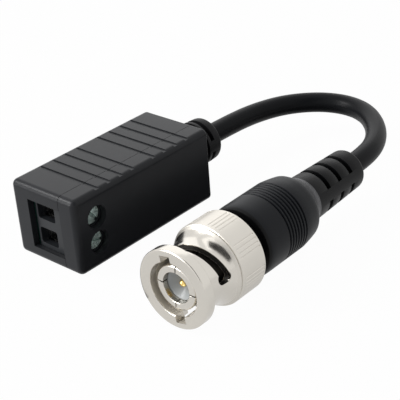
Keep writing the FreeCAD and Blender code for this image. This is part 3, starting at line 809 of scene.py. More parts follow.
@dataclass(frozen=True)
class FinishBook:
    """Every finish of the part."""

    plug_origin: Vec3
    plug_heading: float

    def all(self) -> Finishes:
        """Builds every finish.

        Returns:
            The materials by the record's slot.
        """
        axis = {"origin": self.plug_origin, "heading": self.plug_heading}
        finishes = {
            "case_plastic": Moulded("satin_case_plastic", (0.0143, 0.0152, 0.0175), 0.31, 0.17),
            "terminal_plastic": Moulded("terminal_plastic", (0.014, 0.0155, 0.018), 0.34, 0.3),
            "gland_rubber": Moulded("gland_rubber", (0.005, 0.0052, 0.006), 0.46, 0.16),
            "cable_jacket": Moulded(
                "cable_jacket", (0.0055, 0.006, 0.007), 0.36, 0.08, 4.0, 0.003
            ),
            "boot_rubber": BootRubber("boot_rubber", (0.0056, 0.0066, 0.0086), 0.40, 0.15, **axis),
            "insulator_plastic": Moulded("pin_insulator", (0.285, 0.299, 0.302), 0.35, grain=2.0),
            "wire_insulation": Moulded("milky_insulation", (0.80, 0.79, 0.74), 0.4, grain=2.0),
            "diode_case": Moulded("diode_glaze", (0.02, 0.02, 0.02), 0.15, grain=1.0),
            "ferrite": Moulded("ferrite", (0.055, 0.055, 0.06), 0.55, grain=3.0),
            "board_laminate": Moulded("solder_mask", (0.006, 0.026, 0.020), 0.3, grain=2.0),
            "gasket_rubber": Moulded("gasket_rubber", (0.012, 0.012, 0.012), 0.6),
            "nickel": NutPlate("nickel_plate", (0.67, 0.64, 0.585), 0.20, depth=0.0008, **axis),
            "gilt_brass": TurnedMetal("gilt", (0.95, 0.68, 0.25), 0.14, **axis),
            "spring_steel": TurnedMetal("spring_steel", (0.55, 0.55, 0.55), 0.28, **axis),
            "clamp_metal": PlatedMetal("clamp_plate", (0.30, 0.30, 0.29), 0.3),
            "screw_metal": PlatedMetal(
                "zinc_plate", (0.80, 1.0, 0.95), 0.26, grain=1.2, metallic=0.45, dulling=0.25
            ),
            "braid_metal": PlatedMetal("tinned_strands", (0.62, 0.58, 0.52), 0.4),
            "line_wire": PlatedMetal("red_enamel", (0.42, 0.12, 0.05), 0.3),
            "coax_wire": PlatedMetal("amber_enamel", (0.55, 0.28, 0.07), 0.3),
        }
        return {slot: finish.material() for slot, finish in finishes.items()}


@dataclass
class SubAssembly:
    """Pieces that are built and dressed together."""

    finishes: Finishes

    def deliver(
        self,
        piece: Piece,
        slot: str,
        *nodes: str,
        body: Body = Body.BALUN,
        placement: Optional[Matrix] = None,
        smooth: float = 32.0,
    ) -> None:
        """Brings a piece to its place in metres, dresses it and hands it to its body.

        Args:
            piece: The piece, in mm.
            slot: The record's material slot.
            nodes: The solids it stands for.
            body: The body it moves with.
            placement: Its place in the row frame, with its shift in metres.
            smooth: The angle up to which neighbouring faces are shaded as one, in degrees.
        """
        open_piece(piece)
        bpy.ops.mesh.remove_doubles(threshold=MERGE_GAP)
        close_up()
        hold(piece)
        piece.matrix_world = (placement or Matrix.Identity(4)) @ Matrix.Scale(MM, 4)
        bake()
        bpy.ops.object.shade_smooth_by_angle(angle=math.radians(smooth))
        level = piece.modifiers.new("flat_faces", "WEIGHTED_NORMAL")
        level.keep_sharp = True
        level.weight = 100
        bpy.ops.object.modifier_apply(modifier=level.name)
        piece.name = f"{nodes[0]}_piece"
        piece.data.materials.clear()
        piece.data.materials.append(self.finishes[slot])
        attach(piece, body.value)
        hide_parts(*nodes)
        LOG.info("%s made for %s", piece.name, ", ".join(nodes))


# The case, its terminal and its gland


@dataclass
class Case(SubAssembly):
    """The two grooved halves of the plastic case."""

    length: float = 35.0
    width: float = 16.5
    height: float = 15.0
    wall: float = 1.3
    edge_round: float = 1.2
    edge_facets: int = 7
    rear_round: float = 0.4
    rear_facets: int = 3
    seam_y: float = -4.15
    seam_gap: float = 0.08
    groove_width: float = 0.9
    groove_depth: float = 0.2
    groove_pitch: float = 3.0
    groove_middle: float = 0.63
    groove_group_gap: float = 5.5
    grooves_in_group: int = 4
    opening_depth: float = 8.2
    opening_past: float = 0.5
    opening_heights: Pair = (2.455, 12.205)
    seat_front: float = -16.6
    seat_back: float = -8.3
    seat_sides: Pair = (-6.95, 3.3)
    seat_half: float = 5.18
    access_radius: float = 2.2
    access_ends: Pair = (-9.25, -5.95)
    screw_x: float = -12.4
    pole_heights: Pair = (10.04, 4.96)
    neck_radius: float = 3.22
    neck_ends: Pair = (15.0, 18.5)
    gland_room: float = 4.3
    gland_room_ends: Pair = (13.0, 18.0)
    lip_depth: float = 1.0
    lip_thickness: float = 0.7
    lip_start: float = -8.2
    seat_gap: float = 0.1
    board_back: float = 4.4
    post_places: Pair = (-14.4, 9.3)
    post_heights: Pair = (3.0, 12.0)
    post_radius: float = 1.1
    peg_radius: float = 0.6
    peg_tip: float = 3.2
    broken_edge: float = 0.1

    def build(self) -> None:
        """Makes both halves."""
        for which in Half:
            self._half(which)

    def _half(self, which: Half) -> None:
        """Makes one half.

        Args:
            which: Which half is made.
        """
        half = self._blank(which.value)
        shell = which is Half.SHELL
        open_piece(half)
        bpy.ops.mesh.bisect(
            plane_co=(0, self.seam_y if shell else self.seam_y - self.seam_gap, 0),
            plane_no=(0, 1, 0),
            use_fill=True,
            clear_inner=shell,
            clear_outer=not shell,
        )
        clear_bench()
        carve(half, self._grooves(), *self._rooms())
        if shell:
            self._cut_shell(half)
        else:
            self._cut_cover(half)
        soften(half, self.broken_edge)
        self.deliver(half, "case_plastic", which.value)

    def _blank(self, name: str) -> Piece:
        """Makes the rounded block that a half is cut from.

        Args:
            name: The half's name.

        Returns:
            The block, with its long edges and front rounded, and its rear a little.
        """
        rear, side = self.length / 2, self.width / 2
        block = add_block(name, (-rear, -side, 0.0), (rear, side, self.height))

        def long_or_front(a: Vector, b: Vector) -> bool:
            """Says whether an edge runs along the case or round its front face."""
            return abs(a.x - b.x) > MERGE_GAP or max(a.x, b.x) < 0

        def at_rear(a: Vector, b: Vector) -> bool:
            """Says whether an edge bounds the rear face."""
            return min(a.x, b.x) > rear - MERGE_GAP

        round_edges(block, self.edge_round, self.edge_facets, long_or_front)
        round_edges(block, self.rear_round, self.rear_facets, at_rear)
        return block

    def _grooves(self) -> Piece:
        """The cutters for the grooves across the top, in two groups.

        Returns:
            The cutters as one piece.
        """
        half = self.groove_width / 2
        low = (-half, -self.width, self.height - self.groove_depth)
        pattern = add_block("groove", low, (half, self.width, self.height + PAST))
        moves = []
        for number in range(self.grooves_in_group):
            reach = self.groove_group_gap / 2 + number * self.groove_pitch
            for x in (self.groove_middle - reach, self.groove_middle + reach):
                moves.append(Matrix.Translation((x, 0, 0)))
        return repeated(pattern, moves)

    def _rooms(self) -> tuple[Piece, Piece]:
        """The cutters for the inside and for the terminal's seat.

        Returns:
            Both cutters.
        """
        x = self.length / 2 - self.wall
        y = self.width / 2 - self.wall
        middle = self.height / 2
        front, back = self.seat_sides
        return (
            add_block("hollow", (-x, -y, self.wall), (x, y, self.height - self.wall)),
            add_block(
                "seat",
                (self.seat_front, front, middle - self.seat_half),
                (self.seat_back, back, middle + self.seat_half),
            ),
        )

    def _cut_shell(self, shell: Piece) -> None:
        """Opens the shell for the terminal and the gland, and adds the board's posts.

        Args:
            shell: The shell.
        """
        front = -self.length / 2
        low, high = self.opening_heights
        opening = add_block(
            "opening",
            (front - PAST, self.seam_y - PAST, low),
            (front + self.wall + self.opening_past, self.seam_y + self.opening_depth, high),
        )
        lift = Matrix.Translation((0, 0, CABLE_Z)) @ ALONG_X
        carve(shell, opening, add_rod("gland_hole", self.neck_radius, self.neck_ends, lift))
        wall = self.width / 2 - self.wall + OVERLAP
        face = self.board_back
        for x in self.post_places:
            for z in self.post_heights:
                spot = Matrix.Translation((x, 0, z)) @ ALONG_Y
                post = add_rod("post", self.post_radius, (face, wall), spot, 32)
                combine(shell, Step.ADD, [post])
                ends = (self.peg_tip, face + OVERLAP)
                combine(shell, Step.ADD, [add_rod("peg", self.peg_radius, ends, spot, 24)])

    def _cut_cover(self, cover: Piece) -> None:
        """Bores the screw holes of the cover and adds its lip.

        Args:
            cover: The cover.
        """
        for z in self.pole_heights:
            spot = Matrix.Translation((self.screw_x, 0, z)) @ ALONG_Y
            carve(cover, add_rod("access", self.access_radius, self.access_ends, spot, 96))
        root = -self.width / 2 + self.wall
        tip = self.seam_y + self.lip_depth
        rear = self.length / 2 - self.wall - self.seat_gap
        low = self.wall + self.seat_gap
        high = self.height - low
        thick = self.lip_thickness
        lip = add_block("lip", (self.lip_start, root - OVERLAP, low), (rear, tip, high))
        core = (self.lip_start - PAST, root - PAST, low + thick)
        inside = add_block("lip_inside", core, (rear - thick, tip + PAST, high - thick))
        lift = Matrix.Translation((0, 0, CABLE_Z)) @ ALONG_X
        carve(lip, inside, add_rod("gland_room", self.gland_room, self.gland_room_ends, lift))
        combine(cover, Step.ADD, [lip])


@dataclass
class WireTerminal(SubAssembly):
    """The clamp terminal's housing, with an entry and a screw for each wire."""

    case: Case
    front: float = -16.5
    back: float = -8.3
    top: float = -6.8
    board_face: float = 3.2
    pitch: float = 5.08
    entry_half: float = 1.625
    entry_top: float = -1.65
    entry_bottom: float = 2.74
    entry_round: float = 0.5
    entry_facets: int = 5
    chamber_front: float = -15.2
    chamber_back: float = -8.9
    chamber_bottom: float = 2.75
    tail_front: float = -9.52
    tail_half: float = 0.52
    tail_end: float = 4.2
    cage_half: float = 2.1
    head_radius: float = 1.9
    head_gap: float = 0.1
    head_top: float = -6.7
    head_bottom: float = -5.85
    head_centre: float = 0.05
    head_rounds: Pair = (0.22, 0.1)
    shank_radius: float = 1.45
    thread_pitch: float = 0.5
    thread_depth: float = 0.2
    thread_ends: Pair = (0.1, 0.3)
    tip_chamfer: float = 0.15
    bar_top: float = -1.35
    slot_width: float = 0.6
    slot_depth: float = 0.55
    slot_angles: Pair = (52.0, 18.0)
    broken_edge: float = 0.12
    screw_edge: float = 0.05

    def build(self) -> None:
        """Makes the housing and the two screws."""
        self._housing()
        for number, body in enumerate((Body.SCREW_1, Body.SCREW_2)):
            self._screw(number, body)

    def _pole(self, z: float) -> list[Piece]:
        """The cutters for one wire's place in the housing.

        Args:
            z: The wire's height, in mm.

        Returns:
            The cutters of its entry, its cage's chamber, its screw's bore and its tail.
        """
        entry = add_block(
            "entry",
            (self.front - PAST, self.entry_top, z - self.entry_half),
            (self.chamber_front + OVERLAP, self.entry_bottom, z + self.entry_half),
        )
        round_edges(
            entry, self.entry_round, self.entry_facets, lambda a, b: abs(a.x - b.x) > MERGE_GAP
        )
        chamber = add_block(
            "chamber",
            (self.chamber_front, self.head_bottom, z - self.cage_half),
            (self.chamber_back, self.chamber_bottom, z + self.cage_half),
        )
        ends = (self.top - PAST, self.head_bottom + OVERLAP)
        spot = Matrix.Translation((self.case.screw_x, 0, z)) @ ALONG_Y
        bore = add_rod("bore", self.head_radius + self.head_gap, ends, spot)
        tail = add_block(
            "tail",
            (self.tail_front, self.chamber_bottom - OVERLAP, z - self.tail_half),
            (self.chamber_back, self.tail_end, z + self.tail_half),
        )
        return [entry, chamber, bore, tail]

    def _housing(self) -> None:
        """Makes the housing."""
        heights = self.case.pole_heights
        housing = add_block(
            "terminal_housing",
            (self.front, self.top, min(heights) - self.pitch / 2),
            (self.back, self.board_face, max(heights) + self.pitch / 2),
        )
        for z in heights:
            carve(housing, *self._pole(z))
        soften(housing, self.broken_edge)
        self.deliver(housing, "terminal_plastic", "terminal_housing")

    def _screw(self, number: int, body: Body) -> None:
        """Makes one clamp screw.

        Args:
            number: Which screw, from 0.
            body: The body it turns with.
        """
        name = f"terminal_screw_{number + 1}"
        radius, shank = self.head_radius, self.shank_radius
        top_round, bottom_round = self.head_rounds
        outline = rounded(
            [
                (self.head_top, self.head_centre, 0),
                (self.head_top, radius, top_round),
                (self.head_bottom, radius, bottom_round),
                (self.head_bottom, shank, 0),
            ]
        )
        room = self.bar_top - OVERLAP - self.head_bottom
        crest, root = self.thread_ends
        for ridge in range(int(room / self.thread_pitch)):
            start = self.head_bottom + ridge * self.thread_pitch
            outline += [(start + crest, shank), (start + root, shank - self.thread_depth)]
        tip = self.bar_top - self.tip_chamfer
        outline += [(tip, shank), (self.bar_top, shank - self.tip_chamfer)]
        screw = turn(name, outline, 48, ring=False)
        reach, half = radius + PAST, self.slot_width / 2
        slot = add_block(
            "slot",
            (-reach, -half, self.head_top - PAST),
            (reach, half, self.head_top + self.slot_depth),
        )
        carve(screw, turned(slot, self.slot_angles[number]))
        soften(screw, self.screw_edge, 1)
        spot = Vector((self.case.screw_x, 0, self.case.pole_heights[number])) * MM
        place = Matrix.Translation(spot) @ ALONG_Y
        self.deliver(screw, "screw_metal", name, body=body, placement=place)


@dataclass
class CableGland(SubAssembly):
    """The soft gland that holds the cable in the case."""

    case: Case
    length: float = 8.4
    root: float = 4.95
    tip: float = 4.4
    neck: float = 3.2
    flange: float = 4.2
    flange_ends: Pair = (-2.5, -1.3)
    flange_round: float = 0.2
    tip_round: float = 0.65
    mouth_round: float = 0.12
    fillet: float = 0.1
    core: float = 3.0
    slot_places: Vec3 = (2.1, 3.95, 5.8)
    slot_width: float = 1.05
    rib_turns: Vec3 = (175.0, 131.0, 175.0)
    broken_edge: float = 0.07

    def build(self) -> None:
        """Makes the gland."""
        start, end = self.flange_ends
        outline = rounded(
            [
                (start, JACKET_BORE, 0),
                (start, self.flange, self.flange_round),
                (end, self.flange, self.fillet),
                (end, self.neck, 0),
                (0.0, self.neck, 0),
                (0.0, self.root, self.fillet),
                (self.length, self.tip, self.tip_round),
                (self.length, JACKET_BORE, self.mouth_round),
            ],
            6,
        )
        gland = turn("cable_gland", outline, 128)
        radii = (self.core, self.root + PAST)
        for place, rib in zip(self.slot_places, self.rib_turns):
            carve_ring_slot(gland, place, self.slot_width, radii, rib)
        soften(gland, self.broken_edge)
        spot = Matrix.Translation(Vector((self.case.length / 2, 0, CABLE_Z)) * MM)
        self.deliver(gland, "gland_rubber", "cable_gland", placement=spot @ ALONG_X)


# The free cable


@dataclass
class FreeCable(SubAssembly):
    """The short coaxial lead between the gland and the boot."""

    length: float = 69.93
    steps: int = 24
    facets: int = 12
    route: tuple[Vec3, ...] = (
        (25.9, 0.0, CABLE_Z),
        (32.9, 0.0, CABLE_Z),
        (41.0, -0.4, 7.4),
        (48.5, -2.6, 7.1),
        (54.0, -7.5, 6.9),
        (56.1, -13.4, 6.8),
        (54.6, -19.4, 6.9),
        (49.7, -25.0, 7.0),
        (43.5, -29.0, 7.2),
        (36.790, -30.971, 7.5),
        (30.792, -31.102, 7.5),
    )
    along: tuple[str, ...] = (
        "cable_gland_piece", "coax_case_end", "plug_boot_piece", "coax_plug_end",
        "crimp_ferrule", "plug_body", "plug_core", "plug_insulator_piece", "centre_pin_piece",
        "outer_contact_piece", "front_gasket", "wave_washer", "thrust_washer",
        "retaining_ring", "coupling_nut_piece",
    )

    def build(self) -> None:
        """Makes the lead."""
        curve = bpy.data.curves.new("coax_cable_line", "CURVE")
        curve.dimensions = "3D"
        line = curve.splines.new("NURBS")
        line.points.add(len(self.route) - 1)
        for point, place in zip(line.points, self.route):
            point.co = (*(c * MM for c in place), 1.0)
        line.order_u = 3
        line.use_endpoint_u = True
        line.resolution_u = self.steps
        curve.bevel_depth = CABLE_RADIUS * MM
        curve.bevel_resolution = self.facets
        curve.use_fill_caps = True
        curve.materials.append(self.finishes["cable_jacket"])
        cable = bpy.data.objects.new("coax_cable_piece", curve)
        bpy.context.scene.collection.objects.link(cable)
        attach(cable, Body.BALUN.value)
        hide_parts("coax_cable")
        LOG.info("the lead is made, %.1f mm long", self.length)


# The plug


@dataclass
class PlugPlace:
    """Where the plug lies, with zero at the rear edge of its coupling nut."""

    origin: Vec3 = (-4.4, -31.87, 7.5)
    heading: float = 1.25

    def matrix(self) -> Matrix:
        """The plug's place, for lathe work drawn along Z."""
        spot = Matrix.Translation(Vector(self.origin) * MM)
        return spot @ Matrix.Rotation(math.radians(self.heading), 4, "Z") @ ALONG_X


@dataclass
class CouplingNut(SubAssembly):
    """The bright bayonet nut."""

    place: PlugPlace
    front: float = -14.9
    bore: float = 4.9
    rim: float = 7.2
    rim_back: float = -12.9
    rim_round: float = 0.3
    edge_round: float = 0.15
    barrel: float = 5.95
    barrel_fillet: float = 0.2
    barrel_back: float = -9.5
    flare_bend: Station = (-7.75, 5.97)
    flare_end: float = -6.35
    flare_lip: float = 7.25
    flare_steps: int = 12
    crease: tuple[Station, ...] = ((0.12, 0.02), (0.16, -0.08), (0.26, -0.08), (0.3, 0.1))
    grip: float = 7.5
    grip_front: float = -5.9
    grip_front_edge: tuple[Station, ...] = ((-0.05, -0.03), (0.05, 0.0))
    grip_rear_edge: tuple[Station, ...] = ((-0.3, 0.0), (-0.15, -0.05), (0.0, -0.25))
    room: float = 5.6
    room_front: float = -4.7
    groove: float = 6.05
    groove_ends: Pair = (-1.6, -0.7)
    slot_half: float = 1.05
    slot_start: float = 78.0
    slot_entry: float = -11.2
    slot_rise: float = 2.5
    slot_detent: float = 0.55
    slot_steps: int = 30
    slot_inside: float = 4.5
    slot_spares: Pair = (0.003, 0.006)
    lug_floor: float = 6.05
    lug_past: float = 0.3
    lug_gap: float = 0.1
    knurl_first: float = 99.5
    knurl_groups: int = 8
    knurl_lines: int = 4
    knurl_pitch: float = 5.8
    knurl_width: float = 0.3
    knurl_depth: float = 0.08
    knurl_land: float = 0.5
    sides: int = 256

    def build(self) -> None:
        """Makes the nut."""
        nut = turn("coupling_nut", self._outline(), self.sides)
        for start in (self.slot_start, self.slot_start + 180):
            carve(nut, *self._slot(start))
        carve(nut, self._knurl())
        place = self.place.matrix()
        self.deliver(nut, "nickel", "coupling_nut", body=Body.NUT, placement=place, smooth=28.0)

    def _outline(self) -> list[Station]:
        """The nut's closed outline: outside, then back along the bore.

        Returns:
            Its stations.
        """
        outline = rounded(
            [
                (self.front, self.bore, self.edge_round),
                (self.front, self.rim, self.rim_round),
                (self.rim_back, self.rim, self.edge_round),
                (self.rim_back, self.barrel, self.barrel_fillet),
                (self.barrel_back, self.barrel, 0),
            ],
            5,
        )
        bend, height = self.flare_bend
        for step in range(1, self.flare_steps + 1):
            share = step / self.flare_steps
            a, b, c = (1 - share) ** 2, 2 * share * (1 - share), share**2
            x = a * self.barrel_back + b * bend + c * self.flare_end
            outline.append((x, a * self.barrel + b * height + c * self.flare_lip))
        outline += [(self.flare_end + x, self.flare_lip + rise) for x, rise in self.crease]
        outline += [(self.grip_front + x, self.grip + rise) for x, rise in self.grip_front_edge]
        outline += [(x, self.grip + rise) for x, rise in self.grip_rear_edge]
        low, high = self.groove_ends
        return outline + [
            (0.0, self.room + self.edge_round),
            (-self.edge_round, self.room),
            (high, self.room),
            (high, self.groove),
            (low, self.groove),
            (low, self.room),
            (self.room_front, self.room),
            (self.room_front, self.bore),
        ]

    def _pocket(self, angle: float, low: float, high: float, spare: float) -> Piece:
        """A slot's rounded end: a rod that is stretched to a stadium.

        Args:
            angle: Its angle about the axis, in degrees.
            low: The first round's centre along the axis, in mm.
            high: The second round's centre, in mm.
            spare: How much wider it is made than the slot, in mm. It is longer too, so that
                no two cutters share a face.

        Returns:
            The cutter.
        """
        longer = 20 * spare
        ends = (self.slot_inside - longer, self.grip + PAST + longer)
        spot = Matrix.Translation((0, 0, low)) @ Matrix.Rotation(math.pi / 2, 4, "Y")
        pocket = add_rod("pocket", self.slot_half + spare, ends, spot, 48)
        open_piece(pocket)
        bpy.ops.mesh.select_all(action="DESELECT")
        mesh = bmesh.from_edit_mesh(pocket.data)
        for vertex in mesh.verts:
            vertex.select_set(vertex.co.z > low + MERGE_GAP)
        mesh.select_flush_mode()
        bmesh.update_edit_mesh(pocket.data)
        bpy.ops.transform.translate(value=(0, 0, high - low))
        clear_bench()
        return turned(pocket, angle)

    def _ramp(self, start: float) -> Piece:
        """The quarter-turn part of the slot, drawn out step by step along its helix.

        Args:
            start: The angle it starts at, in degrees.

        Returns:
            The cutter.
        """
        low, high = self.slot_entry - self.slot_half, self.slot_entry + self.slot_half
        ramp = add_upright("ramp", self.slot_inside, self.grip + PAST, low, high)
        for _ in range(self.slot_steps):
            swing(90 / self.slot_steps, 1)
            bpy.ops.transform.translate(value=(0, 0, self.slot_rise / self.slot_steps))
        close_up()
        return turned(ramp, start)

    def _slot(self, start: float) -> list[Piece]:
        """One bayonet slot: the lug's way in under the rim, its ramp and its detent.

        Args:
            start: The angle it starts at, in degrees.

        Returns:
            All its cutters.
        """
        half, deep = self.slot_half, self.slot_entry + self.slot_rise
        under_rim = self.rim_back + half + self.lug_gap
        first_spare, last_spare = self.slot_spares
        way_in = add_block(
            "entry",
            (self.slot_inside - self.lug_gap, -half, self.front - PAST),
            (self.lug_floor, half, self.slot_entry + self.lug_past),
        )
        return [
            turned(way_in, start),
            self._pocket(start, under_rim, self.slot_entry, first_spare),
            self._ramp(start),
            self._pocket(start + 90, deep - self.slot_detent, deep, last_spare),
        ]

    def _knurl(self) -> Piece:
        """The cutters for the grip's fine grooves, in groups with plain lands between.

        Returns:
            The cutters as one piece.
        """
        half = self.knurl_width / math.sqrt(2) / 2
        low = (-half, -half, self.grip_front + self.knurl_land)
        pattern = turned(add_block("knurl", low, (half, half, -self.knurl_land)), 45)
        flatten = Matrix.Diagonal((2 * self.knurl_depth / self.knurl_width, 1, 1, 1))
        pattern.data.transform(Matrix.Translation((self.grip, 0, 0)) @ flatten)
        moves = []
        for group in range(self.knurl_groups):
            for number in range(self.knurl_lines):
                offset = (number - (self.knurl_lines - 1) / 2) * self.knurl_pitch
                angle = self.knurl_first + group * 360 / self.knurl_groups + offset
                moves.append(Matrix.Rotation(math.radians(angle), 4, "Z"))
        return repeated(pattern, moves)


@dataclass
class PlugFront(SubAssembly):
    """The sleeve, insulator and pin inside the nut."""

    place: PlugPlace
    sleeve: float = 4.1
    sleeve_bore: float = 2.75
    sleeve_tip: float = -14.2
    sleeve_back: float = -4.6
    tip_rounds: Pair = (0.2, 0.35)
    slit: float = 0.24
    slits: int = 4
    slit_turn: float = 4.0
    slit_end: float = -8.6
    slit_inside: float = 1.4
    slit_edge: float = 0.04
    face: float = -13.1
    dish: float = 2.4
    dish_floor: float = 0.85
    dish_depth: float = 1.7
    dish_rounds: Pair = (0.3, 0.5)
    face_round: float = 0.1
    pin: float = 0.675
    pin_tip: float = -12.9
    nose_steps: int = 9
    nose_first: float = 0.4
    nose_stretch: float = 1.15
    collar: float = 1.1
    collar_ends: Pair = (-5.0, -0.5)
    fit: float = 0.02

    def build(self) -> None:
        """Makes the three pieces."""
        place = self.place.matrix()
        self.deliver(self._sleeve(), "nickel", "outer_contact", placement=place)
        self.deliver(self._insulator(), "insulator_plastic", "plug_insulator", placement=place)
        self.deliver(self._pin(), "gilt_brass", "centre_pin", placement=place)

    def _sleeve(self) -> Piece:
        """The sleeve with its slits.

        Returns:
            The sleeve.
        """
        inner_round, outer_round = self.tip_rounds
        outline = rounded(
            [
                (self.sleeve_tip, self.sleeve_bore, inner_round),
                (self.sleeve_tip, self.sleeve, outer_round),
                (self.sleeve_back, self.sleeve, 0),
                (self.sleeve_back, self.sleeve_bore, 0),
            ],
            5,
        )
        sleeve = turn("outer_contact", outline, 192)
        half = self.slit / 2
        low = (self.slit_inside, -half, self.sleeve_tip - PAST)
        for number in range(self.slits):
            cut = add_block("slit", low, (self.sleeve + PAST, half, self.slit_end))
            carve(sleeve, turned(cut, self.slit_turn + number * 360 / self.slits))
        soften(sleeve, self.slit_edge, 1)
        return sleeve

    def _insulator(self) -> Piece:
        """The insulator with its dish round the pin.

        Returns:
            The insulator.
        """
        start, end = self.collar_ends
        outer = self.sleeve_bore - self.fit
        pin = self.pin + self.fit
        collar = self.collar + self.fit
        floor = self.face + self.dish_depth
        floor_round, lip_round = self.dish_rounds
        outline = rounded(
            [
                (floor, pin, 0),
                (floor, self.dish_floor, floor_round),
                (self.face, self.dish, lip_round),
                (self.face, outer, self.face_round),
                (end, outer, 0),
                (end, collar, 0),
                (start, collar, 0),
                (start, pin, 0),
            ],
            3,
        )
        return turn("plug_insulator", outline, 96)

    def _pin(self) -> Piece:
        """The gilt pin with its round nose and its collar.

        Returns:
            The pin.
        """
        outline = []
        for step in range(self.nose_steps):
            share = (step + self.nose_first) / (self.nose_steps - 1 + self.nose_first)
            angle = math.pi / 2 * share
            place = self.pin_tip + self.pin * (1 - math.cos(angle)) * self.nose_stretch
            outline.append((place, self.pin * math.sin(angle)))
        start, end = self.collar_ends
        outline += [(start, self.pin), (start, self.collar), (end, self.collar)]
        return turn("centre_pin", outline, 64, ring=False)


@dataclass
class PlugBoot(SubAssembly):
    """The soft boot: lipped collar, ringed grip, shoulder and slotted strain relief."""

    place: PlugPlace
    neck: float = 5.3
    neck_front: float = 0.45
    neck_chamfer: float = 0.15
    front: float = 2.2
    lip: float = 6.55
    lip_curve: tuple[Station, ...] = ((0.0, -0.2), (0.06, -0.06), (0.2, 0.02), (0.5, 0.13))
    body: float = 6.8
    body_start: tuple[Station, ...] = ((1.1, -0.03), (2.0, 0.0))
    taper: tuple[Station, ...] = ((14.7, 6.65), (15.9, 6.46))
    taper_start: float = 13.6
    shoulder: Station = (17.0, 6.25)
    shoulder_edge: tuple[Station, ...] = ((-0.1, 0.02), (0.06, -0.04))
    cone: tuple[Station, ...] = (
        (0.25, 0.26), (0.5, 0.53), (0.7, 0.76), (0.82, 0.88), (0.92, 0.955)
    )
    relief_start: float = 20.0
    relief_root: float = 4.45
    relief_tip: float = 3.95
    relief_foot: tuple[Station, ...] = ((0.0, 0.02), (0.3, -0.01), (0.6, -0.02))
    end: float = 35.2
    tip_start: Station = (-2.0, 0.06)
    tip_round: float = 0.75
    mouth_round: float = 0.12
    ring_first: float = 7.9
    ring_pitch: float = 0.77
    ring_count: int = 7
    ring_width: float = 0.42
    ring_depth: float = 0.28
    ring_edges: tuple[Station, ...] = ((0.04, 0.0), (-0.03, 0.05))
    ring_floor: float = 0.45
    slot_places: Vec3 = (23.7, 27.35, 31.0)
    slot_width: float = 1.1
    slot_core: float = 2.95
    rib_turn: float = 167.0
    cable_room_front: float = 13.0
    ferrule_room: Station = (4.0, 3.62)
    body_room: float = 4.42
    broken_edge: float = 0.07

    def build(self) -> None:
        """Makes the boot."""
        boot = turn("plug_boot", self._outline(), 192)
        radii = (self.slot_core, self.relief_root + PAST)
        for place in self.slot_places:
            carve_ring_slot(boot, place, self.slot_width, radii, self.rib_turn)
        soften(boot, self.broken_edge)
        self.deliver(boot, "boot_rubber", "plug_boot", placement=self.place.matrix())

    def _outline(self) -> list[Station]:
        """The boot's closed outline: outside, then back along its bores.

        Returns:
            Its stations.
        """
        outline: list[Station] = [
            (self.neck_front, self.neck - self.neck_chamfer),
            (self.neck_front + self.neck_chamfer, self.neck),
            (self.front, self.neck),
        ]
        outline += [(self.front + x, self.lip + rise) for x, rise in self.lip_curve]
        outline += [(self.front + x, self.body + rise) for x, rise in self.body_start]
        half = self.ring_width / 2
        profile = [(half + x, drop) for x, drop in self.ring_edges]
        profile.append((half * self.ring_floor, self.ring_depth))
        for number in range(self.ring_count):
            x = self.ring_first + number * self.ring_pitch
            outline += [(x - reach, self.body - drop) for reach, drop in profile]
            outline += [(x + reach, self.body - drop) for reach, drop in reversed(profile)]
        outline += [(self.taper_start, self.body), *self.taper, *self._shoulder()]
        outline += [
            (self.relief_start + x, self.relief_root + rise) for x, rise in self.relief_foot
        ]
        x, rise = self.tip_start
        outline += rounded(
            [
                (self.end + x, self.relief_tip + rise, 0),
                (self.end, self.relief_tip, self.tip_round),
                (self.end, JACKET_BORE, self.mouth_round),
                (self.cable_room_front, JACKET_BORE, 0),
            ],
            6,
        )
        step, room = self.ferrule_room
        return outline + [
            (self.cable_room_front, room),
            (step, room),
            (step, self.body_room),
            (self.neck_front, self.body_room),
        ]

    def _shoulder(self) -> list[Station]:
        """The cone from the crease down to the strain relief, hollow at its foot.

        Returns:
            Its stations.
        """
        place, height = self.shoulder
        fall = height - self.relief_root
        span = self.relief_start - place
        edge = [(place + x, height + rise) for x, rise in self.shoulder_edge]
        return edge + [(place + share * span, height - drop * fall) for share, drop in self.cone]


# Solids that keep their shape and get their finish here


@dataclass
class InnerWorks(SubAssembly):
    """The board, clamps and plug pieces that are hidden or only glimpsed."""

    def build(self) -> None:
        """Dresses every solid that still shows."""
        slots = {s["node"]: s["material_slot"] for s in frame["record"]["subparts"]}
        for name, node in frame["nodes"].items():
            if node.hide_render:
                continue
            if not node.material_slots:
                node.data.materials.append(None)
            for slot in node.material_slots:
                slot.material = self.finishes[slots[name]]
            LOG.info("%s dressed", name)


# The studio, in metres


@dataclass(frozen=True)
class Lamp:
    """A soft square lamp, with its side in metres and its power in watts."""

    name: str
    spot: Vec3
    side: float
    power: float


@dataclass(frozen=True)
class Card:
    """A dark card that faces a place and only shows as a reflection: a painted dark reflection."""

    name: str
    spot: Vec3
    sides: Pair
    aim: Vec3


